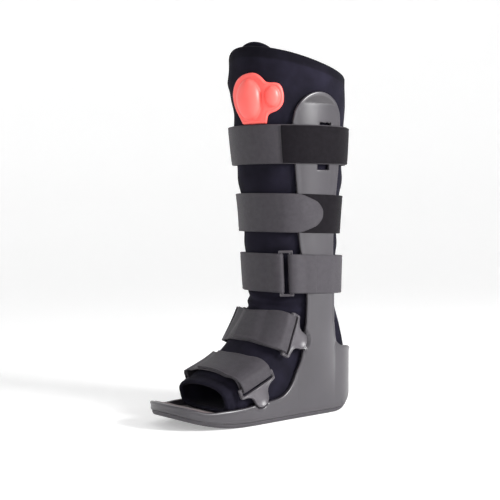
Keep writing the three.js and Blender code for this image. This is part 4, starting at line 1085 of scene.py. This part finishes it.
def ribbon(name, node, path, place, width, thick, material, columns=21):
    """Closed ribbon along a path. Across it the half thickness is t / 2 * sqrt(1 - q^2) in the
    last t / 2 at each edge, and the ends are rounded in the same way. Two lines sink 0.3 mm
    where the edges are stitched."""
    half = thick / 2
    middle = place(path[:, 0], 0.5, path[:, 1])
    step = np.linalg.norm(np.diff(middle, axis=0), axis=1)
    length = np.concatenate([[0], np.cumsum(step)])
    count = max(12, int(length[-1] / 1.7))
    places = np.linspace(0, length[-1], count)
    ends = np.array([0.1, 0.35, 0.7, 1.1])
    places = np.unique(np.concatenate([places, ends, length[-1] - ends]).round(3))
    places = np.minimum(places, length[-1])
    path = np.stack([np.interp(places, length, path[:, k]) for k in range(3)], 1)
    middle = place(path[:, 0] + 0.05, 0.5, path[:, 1]) - place(path[:, 0] - 0.05, 0.5, path[:, 1])
    unit = np.linalg.norm(middle, axis=1) / 0.1
    along = np.gradient(path[:, 0]) * unit
    outward = np.gradient(path[:, 1])
    size = np.hypot(along, outward)
    turn_at, turn_out = -outward / size / unit, along / size
    c = np.sin(np.linspace(-np.pi / 2, np.pi / 2, columns))
    c = np.sign(c) * np.abs(c) ** 0.8
    depth = np.maximum(0, (np.abs(c) - 1) * width / 2 / half + 1)
    profile = np.sqrt(1 - depth**2)
    stitch = hump((1 - np.abs(c)) * width / 2, 3.0, 0.9)
    end = np.minimum(places, length[-1] - places)
    cap = np.sqrt(1 - np.maximum(0, 1 - end / half) ** 2)
    lift = (half * profile[None] - 0.3 * stitch[None]) * cap[:, None]
    share = 0.5 + 0.5 * c[None] * path[:, 2:3]
    sides = [place(path[:, :1] + turn_at[:, None] * s * lift, share,
                   path[:, 1:2] + turn_out[:, None] * s * lift) for s in (1, -1)]
    points = np.concatenate([sides[0], sides[1][:, ::-1][:, 1:-1]], axis=1)
    rows, around = points.shape[:2]
    ids = np.arange(rows * around).reshape(rows, around)
    mirror = np.concatenate([np.arange(columns), np.arange(columns - 2, 0, -1)])
    ids[0], ids[-1] = ids[0][mirror], ids[-1][mirror]
    faces = ids.ravel()[strip_faces(rows, around, False, True)]
    v = np.concatenate([c, 2 - c[::-1][1:-1], [4 - 1]]) * width / 2
    uv = grid_uv(places, v, rows - 1, around)
    return make_piece(name, points.reshape(-1, 3), faces, uv=uv, material=material, nodes=[node])


# Webbing: ribs along the strap, crossed by the weft. The stitching is only the ribbon's sunk lines, without
# thread
rib_group, rib_in, rib_out = new_group(
    "ribbed webbing",
    [("Vector", "NodeSocketVector", None), ("Pitch", "NodeSocketFloat", 1.2)],
    [("Height", "NodeSocketFloat"), ("Tone", "NodeSocketFloat")])
rib_split = rib_group.nodes.new("ShaderNodeSeparateXYZ")
rib_group.links.new(rib_in.outputs["Vector"], rib_split.inputs["Vector"])
rib_turn = add_math(rib_group, "DIVIDE", 6.2832, rib_in.outputs["Pitch"])
rib_across = add_math(rib_group, "SINE", add_math(rib_group, "MULTIPLY", rib_split.outputs["Y"], rib_turn))
rib_along = add_math(rib_group, "SINE", add_math(rib_group, "MULTIPLY", rib_split.outputs["X"], rib_turn))
rib_weave = add_math(rib_group, "MULTIPLY", rib_across, rib_along)
rib_both = add_math(rib_group, "MULTIPLY_ADD", rib_weave, 0.6, rib_across)
rib_noise = add_noise(rib_group, rib_in.outputs["Vector"], 0.16, 5, 0.65)
rib_tone = add_math(rib_group, "MULTIPLY_ADD", rib_both, 0.05, rib_noise)
rib_group.links.new(rib_both, rib_out.inputs["Height"])
rib_group.links.new(rib_tone, rib_out.inputs["Tone"])


def woven_finish(name, dark, light, pitch, bump, gloss):
    """Woven or looped cloth on the strap's own coordinates in millimetres."""
    material, tree, shader = new_finish(name, 0.55, sheen=0.02, specular=gloss)
    place = tree.nodes.new("ShaderNodeUVMap")
    place.uv_map = "cloth"
    weave = use_group(tree, rib_group, place.outputs["UV"], "Pitch", pitch)
    set_colours(tree, shader, weave["Tone"], [(0.3, dark), (0.7, light)])
    set_bump(tree, shader, weave["Height"], bump, 0.0003)
    return material


webbing = woven_finish("strap webbing", (0.042, 0.038, 0.0445), (0.056, 0.051, 0.059), 1.1, 0.4, 0.22)
pile_cloth = woven_finish("pile", (0.007, 0.006, 0.0075), (0.011, 0.0095, 0.012), 0.9, 0.3, 0.03)


def leg_ribbon(name, node, strap, path, thick=strap_thick, share=1.0, material=webbing):
    """Ribbon round the leg on one of the three strap levels. It stands 2.5 mm off the liner where
    it turns the front far corner."""
    place = lambda at, across, out: leg_strap_point(
        strap, at, across, out + 2.5 * hump(at, -46, 13), strap_width * share)
    return ribbon(name, node, path, place, strap_width * share, thick, material)


leg_ribbon("top_strap", "leg_strap_top", "top", run(-100, 259.2, under_layer, under_layer, 150))
leg_ribbon("top_pile_patch", "pile_top", "top", run(46, 170, 4.0, 4.0, 60), pile_thick, 0.95,
           pile_cloth)
tip_share = np.linspace(0, 1, 40)
tip_round = np.clip((tip_share - 0.66) / 0.34, 0, 1)
tip_width = (1 - 0.52 * tip_share**1.15) * np.sqrt(1 - 0.985 * tip_round**2.2)
middle_tip = np.stack([62 + 27 * tip_share, tip_share * 0 + pile_layer, tip_width], 1)
leg_ribbon("middle_strap", "leg_strap_middle", "middle", np.concatenate([
    run(-178, 28, under_layer, under_layer, 90), run(28, 48, under_layer, pile_layer, 12)[1:],
    run(48, 62, pile_layer, pile_layer, 8)[1:], middle_tip[1:]]))
leg_ribbon("middle_pile_strap", "pile_middle", "middle", run(51, 181, 1.5, 1.5, 60), pile_thick, 1.0,
           pile_cloth)
ring_angle = 45.5
ring_unit = float(np.linalg.norm(leg_strap_point("lower", ring_angle + 0.01, 0.5, 5.0, strap_width)
                                 - leg_strap_point("lower", ring_angle - 0.01, 0.5, 5.0, strap_width)) / 0.02)
bar_offset = 6.6 / ring_unit
bar_edge = bar_offset - fold_radius / 2 / ring_unit
front_bar, side_bar = ring_angle - bar_offset, ring_angle + bar_offset
leg_ribbon("lower_strap_front", "leg_strap_lower_front", "lower", np.concatenate([
    run(-178, front_bar, under_layer, under_layer, 100), fold(ring_angle - bar_edge, 1, ring_unit),
    run(front_bar, front_bar - 2, over_layer, over_layer, 2),
    run(front_bar - 2, front_bar - 18, over_layer, laid_layer, 12)[1:],
    run(front_bar - 18, -24, laid_layer, laid_layer, 20)[1:]]))
leg_ribbon("lower_strap_side", "leg_strap_lower_side", "lower", np.concatenate([
    run(side_bar + 30, side_bar + 18, laid_layer, laid_layer, 8),
    run(side_bar + 18, side_bar + 2, laid_layer, over_layer, 12)[1:],
    run(side_bar + 2, side_bar, over_layer, over_layer, 2)[1:],
    fold(ring_angle + bar_edge, -1, ring_unit)[::-1],
    run(side_bar, 112, under_layer, under_layer, 30), run(112, 140, under_layer, 5.3, 14)[1:],
    run(140, 181, 5.3, under_layer, 18)[1:]]))
for name, strap in foot_straps.items():
    reach = foot_reach(strap)
    bar, laid = reach - 4, reach - 22
    path = np.concatenate([
        run(-laid - 6, -bar, 5.0, over_layer, 12), fold(-reach, -1, 1)[::-1],
        run(-bar, bar, under_layer, under_layer, 80), fold(reach, 1, 1),
        run(bar, laid, over_layer, laid_layer, 12),
        run(laid, strap["end"] * reach, laid_layer, laid_layer, 40)[1:]])
    path[:, 1] += 0.8 * hump(np.abs(path[:, 0]), reach - 11, 1.8) * (path[:, 1] > 4.2)
    place = lambda at, across, out, name=name: foot_strap_point(name, at, across, out)
    ribbon(f"{name}_foot_strap", f"foot_strap_{name}", path, place, foot_strap_width, strap_thick,
           webbing)


# Loops and ring
# Grey nylon fittings, each moulded in one piece with round bars and a raised lip round the plate.
loop_plastic = moulded_finish("loop plastic", (0.068, 0.062, 0.071), (0.084, 0.077, 0.087), 0.36, 2200, 0.15)
pin_plastic, pin_tree, pin_shader = new_finish("pin plastic", 0.4)
pin_noise = add_noise(pin_tree, object_place(pin_tree), 900, 3, 0.6)
set_colours(pin_tree, pin_shader, pin_noise, [(0.3, (0.1, 0.09, 0.105)), (0.7, (0.13, 0.12, 0.13))])


def rounded_line(corners, count, radius):
    """Closed line of count points through corners, smoothed by a moving mean over radius mm."""
    corners = np.asarray(corners, float)
    step = np.linalg.norm(np.roll(corners, -1, axis=0) - corners, axis=1)
    length = np.concatenate([[0], np.cumsum(step)])
    closed = np.concatenate([corners, corners[:1]])
    at = np.linspace(0, length[-1], 1440, endpoint=False)
    line = np.stack([np.interp(at, length, closed[:, k]) for k in range(2)], 1)
    reach = int(radius / length[-1] * 1440)
    line = sum(np.roll(line, k, axis=0) for k in range(-reach, reach + 1)) / (2 * reach + 1)
    return line[::1440 // count]


def plate_piece(name, node, outline, centre, slot_half, frame_middle, axes, material):
    """Plate with a slot. Rows run from the slot's edge to the outer edge over the top and back
    underneath, with half round edges and a lip 0.5 mm proud."""
    ray = outline - centre
    turn = np.arctan2(ray[:, 1], ray[:, 0])
    inner = (np.abs(np.cos(turn) / slot_half[0]) ** 8 + np.abs(np.sin(turn) / slot_half[1]) ** 8) ** -0.125
    inner = centre + np.stack([np.cos(turn), np.sin(turn)], 1) * inner[:, None]
    gap = np.linalg.norm(outline - inner, axis=1)
    edge = np.array([0, 0.12, 0.45, 0.9, 1.5, 2.1, 2.9])
    rise = np.array([0, 0.9, 1.6, 2.2, 2.35, 2.1, 1.25])
    reach = np.minimum(edge[None], gap[:, None] / 2 * (edge / 2.9)[None] ** 0.7)
    share = np.concatenate([reach, (gap[:, None] - reach)[:, ::-1]], 1) / gap[:, None]
    top = np.concatenate([rise, rise[::-1]])
    low = -np.minimum(top, 1.6)
    flat = inner[:, None] + (outline - inner)[:, None] * share[..., None]
    over, under = (np.concatenate([flat, np.broadcast_to(z[None, :, None], (*flat.shape[:2], 1))], 2)
                   for z in (top, low))
    grid = np.concatenate([over, under[:, ::-1][:, 1:-1]], 1)
    points = frame_middle + grid.reshape(-1, 3) @ axes
    faces = strip_faces(grid.shape[0], grid.shape[1], True, True)
    return make_piece(name, points, faces, material=material, nodes=[node])


bend = np.linspace(0, 1, 14)
shoulder_x = 26 * (1 - bend) ** 2 + 22 * bend * (1 - bend) + 10 * bend**2
shoulder_y = 7.6 * (1 - bend) ** 2 + 19.2 * bend * (1 - bend) + 20 * bend**2
disc = np.radians(np.linspace(0, 180, 40))
loop_corners = np.concatenate([
    [[-26, -4], [26, -4]], np.stack([shoulder_x, shoulder_y], 1),
    np.stack([10 * np.cos(disc), 20 + 10 * np.sin(disc)], 1)[1:-1],
    np.stack([-shoulder_x, shoulder_y], 1)[::-1]])
loop_outline = rounded_line(loop_corners, 240, 1.6)
for (name, side), (middle, axes) in loop_places.items():
    node = f"loop_{name}" + ("" if side > 0 else "_far")
    plate_piece(node + "_plate", node, loop_outline, np.array([0, 2.7]), (22.8, 2.7), middle, axes,
                loop_plastic)
    pin = bpy.data.objects[f"loop_pin_{name}" + ("" if side > 0 else "_far")]
    pin.data.materials.clear()
    pin.data.materials.append(pin_plastic)
low, high, before, after = (
    leg_strap_point("lower", angle, across, 5.0, strap_width)
    for angle, across in ((ring_angle, 0), (ring_angle, 1), (front_bar, 0.5), (side_bar, 0.5)))
ring_up = unit_vector(high - low)
ring_across = unit_vector((after - before) - ring_up * ((after - before) @ ring_up))
ring_axes = np.array([ring_across, ring_up, np.cross(ring_across, ring_up)])
ring_outline = rounded_line([[-8.2, -26.5], [8.2, -26.5], [8.2, 26.5], [-8.2, 26.5]], 240, 1.2)
plate_piece("strap_ring_bars", "strap_ring", ring_outline, np.zeros(2), (5.0, 23.3),
            (before + after) / 2, ring_axes, loop_plastic)


# Air pump
# Soft red rubber moulding on the liner: a large bulb and a small release dome on one flange.
pump_size = 81
pump_angle, pump_height, degree_length = 24.5, 365.9, 1.2392
flange_low = 28.3
# columns: turn from the near side, reach as a share of the pump's size
pump_outline = np.array([
    (-150, 0.473), (-122, 0.510), (-73, 0.406), (-63, 0.286), (-45, 0.279), (-29, 0.352), (-10, 0.420),
    (14, 0.428), (30, 0.420), (45, 0.300), (60, 0.262), (78, 0.302), (96, 0.356), (118, 0.405),
    (145, 0.500), (172, 0.580), (210, 0.473)])
pump_turn = np.linspace(-150, 210, 181)[:-1]
pump_reach = np.interp(pump_turn, pump_outline[:, 0], pump_outline[:, 1]) * pump_size
for _ in range(14):
    pump_reach = (np.roll(pump_reach, 1) + 2 * pump_reach + np.roll(pump_reach, -1)) / 4
pump_down = np.maximum(-np.sin(np.radians(pump_turn)), 1e-3)
pump_reach = np.minimum(pump_reach, flange_low / pump_down)
pump_share = np.concatenate([np.linspace(0, 0.9, 40), [0.93, 0.95, 0.965, 0.98, 0.99, 0.997, 1.0]])
pump_flat = pump_share[:, None] * pump_reach[None]
pump_across = pump_flat * np.cos(np.radians(pump_turn))
pump_up = pump_flat * np.sin(np.radians(pump_turn))


def dome(across, up, wide, high, rise):
    """Height of a dome on an ellipse: rise * (1 - q) ^ 0.5, with a hollow at its foot."""
    q = ((pump_across / pump_size - across) / wide) ** 2 + ((pump_up / pump_size - up) / high) ** 2
    return rise * np.sqrt(np.maximum(0, 1 - q)) - 0.8 * hump(np.sqrt(q), 1.08, 0.09)


pump_edge = pump_reach[None] - pump_flat
pump_rise = 2.5 * np.sqrt(1 - np.maximum(0, 1 - pump_edge / 1.8) ** 2)
pump_rise = pump_rise + 0.5 * hump(pump_edge, 3.2, 1.2)
bulb = dome(-0.160, -0.010, 0.225, 0.290, 12.0)
release = dome(0.240, 0.025, 0.125, 0.150, 6.5)
pump_lift = pump_rise + np.log(np.exp(bulb * 1.6) + np.exp(release * 1.6)) / 1.6 - 0.43
pump_lift = np.maximum(pump_lift, 0.35)
pump_points = np.concatenate([
    leg_surface(pump_angle + pump_across / degree_length, pump_height + pump_up, rise).reshape(-1, 3)
    for rise in (pump_lift, 0.3 + 0 * pump_lift)])
over_ids = np.arange(pump_flat.size).reshape(pump_flat.shape)
under_ids = over_ids + over_ids.size
over_ids[0], under_ids[0] = over_ids[0, 0], under_ids[0, 0]
pump_ids = np.concatenate([over_ids, under_ids[::-1]])
pump_faces = pump_ids.ravel()[strip_faces(len(pump_ids), len(pump_turn), False, True)]
pump_rubber = moulded_finish("pump rubber", (0.93, 0.115, 0.098), (1.0, 0.142, 0.122), 0.4, 1300, 0.12)
make_piece("pump_bulbs", pump_points, pump_faces, material=pump_rubber,
           nodes=["air_pump"])


size_boxes = {"cad": [list(corner) for corner in cad_bounds],
              "visual": [list(corner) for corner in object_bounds()]}
